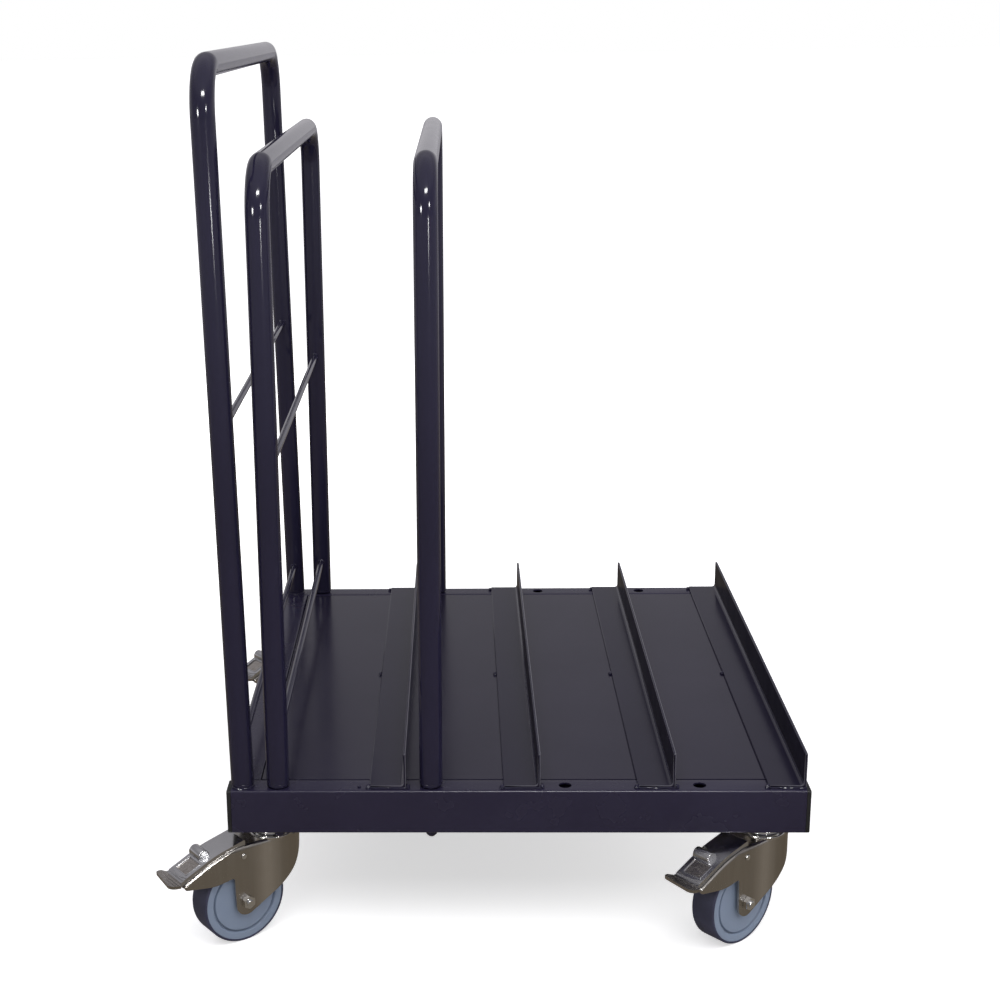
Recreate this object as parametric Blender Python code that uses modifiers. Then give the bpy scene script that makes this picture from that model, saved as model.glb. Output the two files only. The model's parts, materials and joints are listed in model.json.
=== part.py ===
"""Carton rack trolley: a low steel frame on four braked swivel casters.

Three bent-tube hoops stand on the frame. The tall one is welded on as the push handle.
The other two plug into the rails with pins and lift straight out.
Metres, +Z up, floor at zero, front rail toward -Y, push hoop toward -X.
"""
import math

import bmesh
import bpy
from mathutils import Matrix, Vector

MM = 0.001

# Fits
SEAT_GAP = 0.3 * MM
RUN_GAP = 0.4 * MM
SLIDE_GAP = 0.6 * MM

# Frame
RAIL_LENGTH = 620 * MM
FRAME_DEPTH = 700 * MM
RAIL_HEIGHT = 50 * MM
RAIL_WIDTH = 30 * MM
RAIL_WALL = 2 * MM
RAIL_CORNER = 2.5 * MM
CAP_FLANGE = 4.5 * MM
CAP_INSERT = 8 * MM
CAP_EDGE = 1.2 * MM
DECK_SHEET = 2 * MM
DECK_SKIRT = 25 * MM
DECK_BEND = 1 * MM
DECK_GAP = 0.5 * MM
PLATE_THICKNESS = 5 * MM
PLATE_LEG = 66 * MM
PLATE_END = 20 * MM

# Divider angles
ANGLE_LEG = 40 * MM
ANGLE_THICKNESS = 3 * MM
ANGLE_ROOT = 4 * MM
ANGLE_TOE = 1.5 * MM
ANGLE_SETBACK = 6 * MM
ANGLE_FROM_HOLE = 27 * MM

# Pin holes and hoops, along the rail from its left end
PUSH_HOOP_STATION = 12 * MM
FIRST_HOOP_STATION = 50.5 * MM
SECOND_HOOP_STATION = 217 * MM
HOLE_PITCH = 145 * MM
SPARE_HOLES = 2
HOLE_DIAMETER = 14 * MM
HOOP_DIAMETER = 25 * MM
HOOP_WALL = 1.5 * MM
HOOP_BEND = 50 * MM
PUSH_HOOP_RISE = 758 * MM
RACK_HOOP_RISE = 660 * MM
PUSH_HOOP_LEAN = math.radians(0.9)
ROD_DIAMETER = 8 * MM
PUSH_UPPER_ROD = 395 * MM
PUSH_LOWER_ROD = 42 * MM
RACK_UPPER_ROD = 348 * MM
RACK_LOWER_ROD = 48.5 * MM
COLLAR_HEIGHT = 5 * MM
COLLAR_EDGE = 3 * MM
INSERT_DEPTH = 15 * MM
PIN_DIAMETER = 12 * MM
PIN_BELOW_RAIL = 10 * MM
PIN_TAPER = 3 * MM

# Casters: swivel axis from the rail's end and from the rail's outer face
CASTER_INSET_X = 38.5 * MM
CASTER_INSET_Y = 40.5 * MM
CASTER_HEIGHT = 130 * MM
WHEEL_DIAMETER = 100 * MM
WHEEL_WIDTH = 30 * MM
TRAIL = 46 * MM
HEADING_FRONT_LEFT = math.radians(37)
HEADING_FRONT_RIGHT = math.radians(41)
HEADING_REAR_LEFT = math.radians(42)
HEADING_REAR_RIGHT = math.radians(38)
STEM_DIAMETER = 10 * MM
NUT_FLATS = 16 * MM
NUT_HEIGHT = 8 * MM
STEM_END = 3 * MM
HEAD_DIAMETER = 40 * MM
HEAD_RIM = 3 * MM
HEAD_FOOT_DIAMETER = 34 * MM
HEAD_DEPTH = 8.3 * MM
KING_DIAMETER = 12 * MM
RETAINER_DIAMETER = 22 * MM
RETAINER_HEIGHT = 3 * MM

# Fork, a pressed sheet in the caster's own frame: x along the trail, z down from the mount
FORK_SHEET = 2.5 * MM
FORK_INNER_WIDTH = 35 * MM
FORK_TOP = -14 * MM
FORK_NOSE = -31.4 * MM
FORK_NOSE_ROUND = 18 * MM
FORK_BEND = 4 * MM
CROWN_END = 42 * MM
RACE_DIAMETER = 38 * MM
DISH_DIAMETER = 50 * MM
DISH_TOP = -12.5 * MM
NOSE_SLOT_WIDTH = 22 * MM
NOSE_SLOT_TOP = -34 * MM
FORK_SIDE = (
    (66 * MM, FORK_TOP, 150 * MM),
    (121.2 * MM, -39.7 * MM, 2.5 * MM),
    (121.4 * MM, -44.8 * MM, 3 * MM),
    (84 * MM, -51.5 * MM, 60 * MM),
    (60.5 * MM, -48 * MM, 2.5 * MM),
    (58.5 * MM, -104.4 * MM, 13 * MM),
    (-20 * MM, -62.8 * MM, 70 * MM),
    (FORK_NOSE, FORK_TOP, 5 * MM),
)

# Wheel and axle
TREAD_DEPTH = 2.5 * MM
TREAD_SHOULDER = 1.6 * MM
RIM_SETBACK = 0.5 * MM
COVER_DIAMETER = 76 * MM
COVER_SETBACK = 1 * MM
GROOVE = 1.4 * MM
SLEEVE_DIAMETER = 12 * MM
AXLE_DIAMETER = 8 * MM
AXLE_HEX_FLATS = 13 * MM
AXLE_HEX_HEIGHT = 5.5 * MM

# Brake pedal, in the same frame as the fork
PEDAL_SHEET = 2 * MM
PEDAL_PIVOT_X = 48 * MM
PEDAL_PIVOT_Z = -25.5 * MM
PEDAL_PIN_DIAMETER = 4 * MM
PEDAL_PIN_HEAD = 6.4 * MM
PEDAL_PIN_HEAD_HEIGHT = 1.2 * MM
PEDAL_SIDE = (
    (44 * MM, -7.8 * MM, 1.5 * MM),
    (82 * MM, -16.5 * MM, 120 * MM),
    (121 * MM, -33.5 * MM, 1.5 * MM),
    (121.5 * MM, -36.4 * MM, 0),
    (124 * MM, -36.4 * MM, 0),
    (122.5 * MM, -43.5 * MM, 2 * MM),
    (82 * MM, -25 * MM, 100 * MM),
    (60 * MM, -19.5 * MM, 4 * MM),
    (54 * MM, -29.3 * MM, 4 * MM),
    (44 * MM, -29.3 * MM, 4 * MM),
)
PEDAL_HOLLOW = (
    (40 * MM, -9 * MM, 0),
    (82 * MM, -18.6 * MM, 120 * MM),
    (120.5 * MM, -35.4 * MM, 0),
    (120.5 * MM, -60 * MM, 0),
    (40 * MM, -60 * MM, 0),
)
SHOE_WIDTH = 18 * MM
SHOE_SIDE = (
    (63 * MM, -13.2 * MM, 0),
    (72 * MM, -15.3 * MM, 0),
    (72 * MM, -32.4 * MM, 0),
    (63 * MM, -29.8 * MM, 0),
)
TAB_WIDTH = 18.4 * MM
TAB_DIAMETER = 14 * MM
TAB_X = 89 * MM
TAB_Y = -7.2 * MM
WINDOW_LENGTH = 15 * MM
WINDOW_WIDTH = 23 * MM
WINDOW_DEPTH = 0.8 * MM
WINDOW_X = 106.5 * MM
LIP_WIDTH = 46 * MM
LIP_SIDE = (
    (116 * MM, -34.5 * MM, 0),
    (128 * MM, -35 * MM, 20 * MM),
    (146 * MM, -31.8 * MM, 0),
    (146 * MM, -35.2 * MM, 0),
    (127 * MM, -38.5 * MM, 20 * MM),
    (116 * MM, -38 * MM, 0),
)
LIP_NECK_X = 124 * MM
LIP_FLARE_X = 127.5 * MM
LIP_FLARE_ROUND = 1.5 * MM
LIP_END_X = 138 * MM
LIP_SKEW = 3.5 * MM
LIP_CORNER = 6 * MM

# Facets
ARC_SAGITTA = 0.3 * MM
HOOP_SIDES = 14
HOOP_BORE_SIDES = 8
BEND_STEPS = 6
WHEEL_STEPS = 20
ROUND_STEPS = 12
SMALL_STEPS = 10
SMOOTH_ANGLE = math.radians(42)
WELD = 0.005 * MM

# The pedals reach past the frame toward -X and -Y, so the frame stands off the origin
FRAME_X = 39 * MM
FRAME_Y = 32 * MM

DECK_TOP = CASTER_HEIGHT + RAIL_HEIGHT
HOOP_RADIUS = HOOP_DIAMETER / 2
HOOP_HALF_SPAN = (FRAME_DEPTH - RAIL_WIDTH) / 2
FORK_WIDTH = FORK_INNER_WIDTH + 2 * FORK_SHEET
AXLE_DROP = CASTER_HEIGHT - WHEEL_DIAMETER / 2
PEDAL_WIDTH = FORK_INNER_WIDTH - 2 * SLIDE_GAP
PEDAL_SLOPE = (PEDAL_SIDE[2][1] - PEDAL_SIDE[1][1]) / (PEDAL_SIDE[2][0] - PEDAL_SIDE[1][0])
CUT_REACH = 200 * MM

FRAME_PAINT = ("frame_paint", (0.022, 0.019, 0.036), 0.0, 0.38)
DECK_PAINT = ("deck_paint", (0.024, 0.021, 0.038), 0.0, 0.42)
ANGLE_PAINT = ("angle_paint", (0.020, 0.018, 0.032), 0.0, 0.45)
HOOP_PAINT = ("hoop_paint", (0.022, 0.019, 0.036), 0.0, 0.32)
CAP_PLASTIC = ("cap_plastic", (0.010, 0.010, 0.011), 0.0, 0.55)
FORK_ZINC = ("fork_zinc", (0.62, 0.60, 0.57), 1.0, 0.22)
PEDAL_ZINC = ("pedal_zinc", (0.58, 0.57, 0.56), 1.0, 0.30)
BOLT_STEEL = ("bolt_steel", (0.66, 0.66, 0.66), 1.0, 0.26)
TYRE_RUBBER = ("tyre_rubber", (0.045, 0.046, 0.050), 0.0, 0.62)
WHEEL_PLASTIC = ("wheel_plastic", (0.21, 0.26, 0.34), 0.0, 0.42)


def clear_scene():
    for item in list(bpy.data.objects):
        bpy.data.objects.remove(item)
    for group in list(bpy.data.collections):
        bpy.data.collections.remove(group)


def rounded(corners):
    """Points of a closed outline whose corners (x, y, radius) become arcs."""
    points = []
    count = len(corners)
    for index in range(count):
        x, y, radius = corners[index]
        here = Vector((x, y))
        back = (Vector(corners[index - 1][:2]) - here).normalized()
        ahead = (Vector(corners[(index + 1) % count][:2]) - here).normalized()
        if radius <= 0:
            points.append((x, y))
            continue
        half = back.angle(ahead) / 2
        centre = here + (back + ahead).normalized() * (radius / math.sin(half))
        start = here + back * (radius / math.tan(half)) - centre
        end = here + ahead * (radius / math.tan(half)) - centre
        sweep = math.atan2(start.cross(end), start.dot(end))
        largest = 2 * math.acos(1 - min(ARC_SAGITTA / radius, 0.3))
        steps = max(2, math.ceil(abs(sweep) / largest))
        for step in range(steps + 1):
            turn = Matrix.Rotation(sweep * step / steps, 2)
            points.append(tuple(centre + turn @ start))
    return points


def circle(radius, steps, x=0.0, y=0.0):
    ring = []
    for step in range(steps):
        angle = 2 * math.pi * (step + 0.5) / steps
        ring.append((x + radius * math.cos(angle), y + radius * math.sin(angle)))
    return ring


def meshed(source):
    """The evaluated mesh of a curve or a mesh with modifiers; the source is removed."""
    bpy.context.scene.collection.objects.link(source)
    graph = bpy.context.evaluated_depsgraph_get()
    mesh = bpy.data.meshes.new_from_object(source.evaluated_get(graph))
    bpy.data.objects.remove(source)
    work = bmesh.new()
    work.from_mesh(mesh)
    bmesh.ops.remove_doubles(work, verts=work.verts, dist=WELD)
    bmesh.ops.dissolve_degenerate(work, edges=work.edges, dist=WELD)
    bmesh.ops.recalc_face_normals(work, faces=work.faces)
    work.to_mesh(mesh)
    work.free()
    return mesh


def prism(rings, thickness):
    """A flat outline, with any holes, extruded about its own plane."""
    curve = bpy.data.curves.new("outline", "CURVE")
    curve.dimensions = "2D"
    curve.fill_mode = "BOTH"
    curve.extrude = thickness / 2
    for ring in rings:
        spline = curve.splines.new("POLY")
        spline.points.add(len(ring) - 1)
        for point, (x, y) in zip(spline.points, ring):
            point.co = (x, y, 0, 1)
        spline.use_cyclic_u = True
    return meshed(bpy.data.objects.new("outline", curve))


def side_prism(corners, width):
    """A side outline (x along the trail, z up) extruded across the trail."""
    mesh = prism([rounded(corners)], width)
    mesh.transform(Matrix.Rotation(math.pi / 2, 4, "X"))
    return mesh


def turned(profile, steps):
    """A profile (radius, height), top to bottom on its outer side, turned about Z."""
    mesh = bpy.data.meshes.new("profile")
    points = [(radius, 0, height) for radius, height in profile]
    edges = [(index, index + 1) for index in range(len(points) - 1)]
    mesh.from_pydata(points, edges, [])
    source = bpy.data.objects.new("profile", mesh)
    screw = source.modifiers.new("screw", "SCREW")
    screw.steps = steps
    screw.render_steps = steps
    screw.use_merge_vertices = True
    screw.merge_threshold = WELD
    result = meshed(source)
    result.transform(Matrix.Rotation(math.pi / steps, 4, "Z"))
    return result


def swept(path, radius, sides):
    """A round bar along a path."""
    curve = bpy.data.curves.new("path", "CURVE")
    curve.dimensions = "3D"
    curve.bevel_depth = radius
    curve.bevel_resolution = (sides - 4) // 2
    curve.use_fill_caps = True
    spline = curve.splines.new("POLY")
    spline.points.add(len(path) - 1)
    for point, place in zip(spline.points, path):
        point.co = (*place, 1)
    return meshed(bpy.data.objects.new("path", curve))


def cylinder(radius, length, steps, axis="Z", centre=(0, 0, 0)):
    mesh = bpy.data.meshes.new("cylinder")
    work = bmesh.new()
    bmesh.ops.create_cone(
        work, cap_ends=True, segments=steps, radius1=radius, radius2=radius, depth=length)
    work.to_mesh(mesh)
    work.free()
    mesh.transform(Matrix.Rotation(math.pi / steps, 4, "Z"))
    if axis == "Y":
        mesh.transform(Matrix.Rotation(math.pi / 2, 4, "X"))
    mesh.transform(Matrix.Translation(centre))
    return mesh


def block(low, high):
    """A box between two corners."""
    mesh = bpy.data.meshes.new("block")
    work = bmesh.new()
    bmesh.ops.create_cube(work, size=1)
    work.to_mesh(mesh)
    work.free()
    low = Vector(low)
    high = Vector(high)
    mesh.transform(Matrix.Translation((low + high) / 2) @ Matrix.Diagonal((*(high - low), 1)))
    return mesh


def hexagon(flats, height, middle):
    """A hexagon about Z with two flats facing along X."""
    mesh = prism([circle(flats / 2 / math.cos(math.pi / 6), 6)], height)
    mesh.transform(Matrix.Translation((0, 0, middle)))
    return mesh


def boolean(body, tool, operation):
    target = bpy.data.objects.new("target", body)
    other = bpy.data.objects.new("tool", tool)
    bpy.context.scene.collection.objects.link(other)
    step = target.modifiers.new("boolean", "BOOLEAN")
    step.operation = operation
    step.solver = "EXACT"
    step.object = other
    result = meshed(target)
    bpy.data.objects.remove(other)
    return result


def cut(body, tool):
    return boolean(body, tool, "DIFFERENCE")


def joined(body, tool):
    return boolean(body, tool, "UNION")


def common(body, tool):
    return boolean(body, tool, "INTERSECT")


def paint(recipe):
    name, colour, metallic, roughness = recipe
    material = bpy.data.materials.get(name)
    if material is None:
        material = bpy.data.materials.new(name)
        material.use_nodes = True
        shader = material.node_tree.nodes["Principled BSDF"]
        shader.inputs["Base Color"].default_value = (*colour, 1)
        shader.inputs["Metallic"].default_value = metallic
        shader.inputs["Roughness"].default_value = roughness
        material.diffuse_color = (*colour, 1)
    return material


def place(name, mesh, recipe, location=(0, 0, 0), parent=None):
    """One named piece of the trolley."""
    mesh.shade_smooth()
    mesh.set_sharp_from_angle(angle=SMOOTH_ANGLE)
    mesh.materials.clear()
    mesh.materials.append(paint(recipe))
    piece = bpy.data.objects.new(name, mesh)
    piece.location = location
    piece.parent = parent
    TROLLEY.objects.link(piece)
    return piece


def joint_frame(name, location, rotation):
    """An empty on a joint's axis, which carries the pieces that move with it."""
    empty = bpy.data.objects.new(name, None)
    empty.empty_display_size = HOOP_DIAMETER
    empty.location = location
    empty.rotation_euler = rotation
    TROLLEY.objects.link(empty)
    return empty


def at(x, y, z):
    """A point given from the frame's centre on the floor."""
    return Vector((FRAME_X + x, FRAME_Y + y, z))


def rail_ring(width, height, corner):
    half_width = width / 2
    half_height = height / 2
    return rounded((
        (-half_width, -half_height, corner),
        (half_width, -half_height, corner),
        (half_width, half_height, corner),
        (-half_width, half_height, corner),
    ))


def rail_mesh(length):
    """Rectangular tube along X."""
    outer = rail_ring(RAIL_WIDTH, RAIL_HEIGHT, RAIL_CORNER)
    inner = rail_ring(RAIL_WIDTH - 2 * RAIL_WALL, RAIL_HEIGHT - 2 * RAIL_WALL, 0)
    mesh = prism([outer, inner], length)
    mesh.transform(Matrix(((0, 0, 1, 0), (1, 0, 0, 0), (0, 1, 0, 0), (0, 0, 0, 1))))
    return mesh


def station(distance):
    """X of a place on the rails, measured from their left end."""
    return distance - RAIL_LENGTH / 2


def hole_places():
    places = [station(FIRST_HOOP_STATION)]
    for index in range(SPARE_HOLES + 1):
        places.append(station(SECOND_HOOP_STATION) + index * HOLE_PITCH)
    return places


def build_rails():
    cross = rail_mesh(RAIL_LENGTH)
    for x in hole_places():
        cross = cut(cross, cylinder(HOLE_DIAMETER / 2, 2 * RAIL_HEIGHT, ROUND_STEPS, "Z", (x, 0, 0)))
    height = CASTER_HEIGHT + RAIL_HEIGHT / 2
    place("front_rail", cross, FRAME_PAINT, at(0, -HOOP_HALF_SPAN, height))
    place("rear_rail", cross.copy(), FRAME_PAINT, at(0, HOOP_HALF_SPAN, height))
    side = rail_mesh(FRAME_DEPTH - 2 * RAIL_WIDTH - 2 * SEAT_GAP)
    side.transform(Matrix.Rotation(math.pi / 2, 4, "Z"))
    reach = (RAIL_LENGTH - RAIL_WIDTH) / 2
    place("left_rail", side, FRAME_PAINT, at(-reach, 0, height))
    place("right_rail", side.copy(), FRAME_PAINT, at(reach, 0, height))


def cap_mesh():
    """End cap pointing along +X, its seat at the rail's cut end."""
    flange = prism([rail_ring(RAIL_WIDTH, RAIL_HEIGHT, RAIL_CORNER)], CAP_FLANGE)
    work = bmesh.new()
    work.from_mesh(flange)
    rim = []
    for edge in work.edges:
        if all(vert.co.z > 0 for vert in edge.verts):
            if len(edge.link_faces) == 2 and edge.calc_face_angle() > SMOOTH_ANGLE:
                rim.append(edge)
    bmesh.ops.bevel(work, geom=rim, offset=CAP_EDGE, segments=2, profile=0.5, affect="EDGES")
    work.to_mesh(flange)
    work.free()
    flange.transform(Matrix(((0, 0, 1, 0), (1, 0, 0, 0), (0, 1, 0, 0), (0, 0, 0, 1))))
    flange.transform(Matrix.Translation((SEAT_GAP + CAP_FLANGE / 2, 0, 0)))
    half_width = RAIL_WIDTH / 2 - RAIL_WALL - SEAT_GAP
    half_height = RAIL_HEIGHT / 2 - RAIL_WALL - SEAT_GAP
    plug = block((-CAP_INSERT, -half_width, -half_height), (CAP_FLANGE / 2, half_width, half_height))
    return joined(flange, plug)


def build_caps():
    right = cap_mesh()
    left = right.copy()
    left.transform(Matrix.Rotation(math.pi, 4, "Z"))
    height = CASTER_HEIGHT + RAIL_HEIGHT / 2
    for row, side in (("front", -1), ("rear", 1)):
        y = side * HOOP_HALF_SPAN
        place(row + "_left_end_cap", left.copy(), CAP_PLASTIC, at(-RAIL_LENGTH / 2, y, height))
        place(row + "_right_end_cap", right.copy(), CAP_PLASTIC, at(RAIL_LENGTH / 2, y, height))


def build_deck():
    """Folded tray: an open box with rounded bends and sheet thickness inward."""
    half_x = RAIL_LENGTH / 2 - RAIL_WIDTH - DECK_GAP
    half_y = FRAME_DEPTH / 2 - RAIL_WIDTH - DECK_GAP
    shell = block((-half_x, -half_y, -DECK_SKIRT), (half_x, half_y, 0))
    work = bmesh.new()
    work.from_mesh(shell)
    bottom = [face for face in work.faces if face.normal.z < -0.5]
    bmesh.ops.delete(work, geom=bottom, context="FACES_ONLY")
    work.to_mesh(shell)
    work.free()
    source = bpy.data.objects.new("tray", shell)
    bend = source.modifiers.new("bend", "BEVEL")
    bend.width = DECK_BEND + DECK_SHEET
    bend.segments = 2
    sheet = source.modifiers.new("sheet", "SOLIDIFY")
    sheet.thickness = DECK_SHEET
    sheet.offset = -1
    sheet.use_even_offset = True
    place("deck_panel", meshed(source), DECK_PAINT, at(0, 0, DECK_TOP))


def angle_mesh():
    """Rolled angle along Y: upright leg on its right face, flat leg to the left."""
    ring = rounded((
        (0, 0, 0),
        (ANGLE_LEG, 0, 0),
        (ANGLE_LEG, ANGLE_THICKNESS, ANGLE_TOE),
        (ANGLE_THICKNESS, ANGLE_THICKNESS, ANGLE_ROOT),
        (ANGLE_THICKNESS, ANGLE_LEG, ANGLE_TOE),
        (0, ANGLE_LEG, 0),
    ))
    mesh = prism([ring], FRAME_DEPTH - 2 * ANGLE_SETBACK)
    mesh.transform(Matrix(((-1, 0, 0, 0), (0, 0, 1, 0), (0, 1, 0, 0), (0, 0, 0, 1))))
    return mesh


def build_dividers():
    mesh = angle_mesh()
    faces = [x - ANGLE_FROM_HOLE for x in hole_places()[1:]]
    faces.append(RAIL_LENGTH / 2)
    for index, x in enumerate(faces):
        place(f"divider_angle_{index + 1}", mesh.copy(), ANGLE_PAINT, at(x, 0, DECK_TOP + SEAT_GAP))


def foot_mesh(pinned):
    """Foot plug: insert in the tube, rounded collar on the rail, pin through the rail."""
    top = COLLAR_HEIGHT + INSERT_DEPTH
    insert = (HOOP_RADIUS - HOOP_WALL) * math.cos(math.pi / HOOP_BORE_SIDES) - SEAT_GAP
    profile = [
        (0, top),
        (insert, top),
        (insert, COLLAR_HEIGHT),
        (HOOP_RADIUS, COLLAR_HEIGHT),
        (HOOP_RADIUS, COLLAR_EDGE),
        (HOOP_RADIUS - COLLAR_EDGE * (1 - math.sqrt(0.5)), COLLAR_EDGE * (1 - math.sqrt(0.5))),
        (HOOP_RADIUS - COLLAR_EDGE, 0),
    ]
    if pinned:
        pin = PIN_DIAMETER / 2
        end = -(RAIL_HEIGHT + PIN_BELOW_RAIL)
        profile += [(pin, 0), (pin, end + PIN_TAPER), (pin - PIN_TAPER, end), (0, end)]
    else:
        profile.append((0, 0))
    mesh = turned(profile, SMALL_STEPS)
    mesh.transform(Matrix.Translation((0, 0, SEAT_GAP)))
    return mesh


def hoop_path(foot, top):
    """Centre line of a hoop in its own plane, from the front foot to the rear foot."""
    path = [(0, -HOOP_HALF_SPAN, foot)]
    for step in range(BEND_STEPS + 1):
        angle = math.pi / 2 * step / BEND_STEPS
        y = -HOOP_HALF_SPAN + HOOP_BEND * (1 - math.cos(angle))
        path.append((0, y, top - HOOP_BEND * (1 - math.sin(angle))))
    return path + [(0, -y, z) for x, y, z in reversed(path)]


def hoop_mesh(rise):
    foot = COLLAR_HEIGHT + 2 * SEAT_GAP
    tube = swept(hoop_path(foot, rise), HOOP_RADIUS, HOOP_SIDES)
    bore = swept(hoop_path(foot - HOOP_WALL, rise), HOOP_RADIUS - HOOP_WALL, HOOP_BORE_SIDES)
    return cut(tube, bore)


def rod_mesh(height):
    """Cross rod whose ends are coped to the hoop's legs."""
    rod = cylinder(ROD_DIAMETER / 2, 2 * HOOP_HALF_SPAN, SMALL_STEPS, "Y", (0, 0, height))
    for y in (-HOOP_HALF_SPAN, HOOP_HALF_SPAN):
        leg = cylinder(HOOP_RADIUS + SEAT_GAP, 4 * ROD_DIAMETER, WHEEL_STEPS, "Z", (0, y, height))
        rod = cut(rod, leg)
    return rod


def build_hoop(name, distance, rise, upper, lower, lean, pinned):
    frame = joint_frame(name, at(station(distance), 0, DECK_TOP), (0, -lean, 0))
    place(name + "_tube", hoop_mesh(rise), HOOP_PAINT, parent=frame)
    place(name + "_upper_rod", rod_mesh(upper), HOOP_PAINT, parent=frame)
    place(name + "_lower_rod", rod_mesh(lower), HOOP_PAINT, parent=frame)
    foot = foot_mesh(pinned)
    place(name + "_front_foot", foot, HOOP_PAINT, (0, -HOOP_HALF_SPAN, 0), frame)
    place(name + "_rear_foot", foot.copy(), HOOP_PAINT, (0, HOOP_HALF_SPAN, 0), frame)


def build_hoops():
    build_hoop("push_hoop", PUSH_HOOP_STATION, PUSH_HOOP_RISE, PUSH_UPPER_ROD, PUSH_LOWER_ROD,
               PUSH_HOOP_LEAN, False)
    build_hoop("first_hoop", FIRST_HOOP_STATION, RACK_HOOP_RISE, RACK_UPPER_ROD, RACK_LOWER_ROD,
               0, True)
    build_hoop("second_hoop", SECOND_HOOP_STATION, RACK_HOOP_RISE, RACK_UPPER_ROD, RACK_LOWER_ROD,
               0, True)


def plate_mesh(side_x, side_y):
    """Corner plate about the swivel axis, with the stem's hole."""
    inner_x = CASTER_INSET_X - RAIL_WIDTH - SEAT_GAP
    inner_y = CASTER_INSET_Y - RAIL_WIDTH - SEAT_GAP
    corners = (
        (0, 0),
        (PLATE_LEG, 0),
        (PLATE_LEG, PLATE_END),
        (PLATE_END, PLATE_LEG),
        (0, PLATE_LEG),
    )
    ring = [(side_x * (inner_x - x), side_y * (inner_y - y)) for x, y in corners]
    hole = circle(STEM_DIAMETER / 2 + SEAT_GAP, ROUND_STEPS)
    mesh = prism([ring, hole], PLATE_THICKNESS)
    mesh.transform(Matrix.Translation((0, 0, PLATE_THICKNESS / 2)))
    return mesh


def head_mesh():
    """Fixed half of the swivel: stem and nut above, king pin and retainer below."""
    stem = STEM_DIAMETER / 2
    nut_seat = PLATE_THICKNESS + SEAT_GAP
    king = KING_DIAMETER / 2
    retainer = RETAINER_DIAMETER / 2
    under = FORK_TOP - FORK_SHEET - RUN_GAP
    body = turned((
        (0, nut_seat + NUT_HEIGHT + STEM_END),
        (stem, nut_seat + NUT_HEIGHT + STEM_END),
        (stem, -SEAT_GAP),
        (HEAD_DIAMETER / 2, -SEAT_GAP),
        (HEAD_DIAMETER / 2, -HEAD_RIM),
        (HEAD_FOOT_DIAMETER / 2, -HEAD_DEPTH),
        (king, -HEAD_DEPTH),
        (king, under),
        (retainer, under),
        (retainer, under - RETAINER_HEIGHT),
        (0, under - RETAINER_HEIGHT),
    ), ROUND_STEPS)
    return joined(body, hexagon(NUT_FLATS, NUT_HEIGHT, nut_seat + NUT_HEIGHT / 2))


def fork_plan(margin):
    """Plan outline of the fork, drawn in by a margin: rounded nose, open trailing end."""
    half = FORK_WIDTH / 2 - margin
    nose = FORK_NOSE + margin
    return rounded((
        (nose, -half, FORK_NOSE_ROUND - margin),
        (CUT_REACH, -half, 0),
        (CUT_REACH, half, 0),
        (nose, half, FORK_NOSE_ROUND - margin),
    ))


def fork_mesh():
    """Pressed fork: rounded nose, bent crown, two cheeks with trailing arms for the pedal."""
    half = FORK_WIDTH / 2
    half_inner = FORK_INNER_WIDTH / 2
    crown_under = FORK_TOP - FORK_SHEET
    fork = side_prism(FORK_SIDE, FORK_WIDTH)
    fork = common(fork, prism([fork_plan(0)], 2 * CUT_REACH))
    section = prism([rounded((
        (-half, -CUT_REACH, 0),
        (half, -CUT_REACH, 0),
        (half, FORK_TOP, FORK_BEND),
        (-half, FORK_TOP, FORK_BEND),
    ))], 2 * CUT_REACH)
    section.transform(Matrix(((0, 0, 1, 0), (1, 0, 0, 0), (0, 1, 0, 0), (0, 0, 0, 1))))
    fork = common(fork, section)
    hollow = prism([fork_plan(FORK_SHEET)], CUT_REACH)
    hollow.transform(Matrix.Translation((0, 0, crown_under - CUT_REACH / 2)))
    fork = cut(fork, hollow)
    fork = cut(fork, block((CROWN_END, -half_inner, -CUT_REACH), (CUT_REACH, half_inner, CUT_REACH)))
    slot = NOSE_SLOT_WIDTH / 2
    fork = cut(fork, block((-CUT_REACH, -slot, -CUT_REACH), (0, slot, NOSE_SLOT_TOP)))
    fork = joined(fork, turned((
        (0, -HEAD_DEPTH - RUN_GAP),
        (RACE_DIAMETER / 2, -HEAD_DEPTH - RUN_GAP),
        (RACE_DIAMETER / 2, DISH_TOP),
        (DISH_DIAMETER / 2, DISH_TOP),
        (DISH_DIAMETER / 2, crown_under),
        (0, crown_under),
    ), ROUND_STEPS))
    bore = cylinder(KING_DIAMETER / 2 + RUN_GAP, CUT_REACH, ROUND_STEPS)
    fork = cut(fork, bore)
    axle = cylinder(AXLE_DIAMETER / 2 + RUN_GAP, CUT_REACH, SMALL_STEPS, "Y", (TRAIL, 0, -AXLE_DROP))
    fork = cut(fork, axle)
    pin = cylinder(PEDAL_PIN_DIAMETER / 2 + RUN_GAP, CUT_REACH, SMALL_STEPS, "Y",
                   (PEDAL_PIVOT_X, 0, PEDAL_PIVOT_Z))
    return cut(fork, pin)


def across(mesh):
    """A turned piece laid across the trail."""
    mesh.transform(Matrix.Rotation(-math.pi / 2, 4, "X"))
    return mesh


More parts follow.
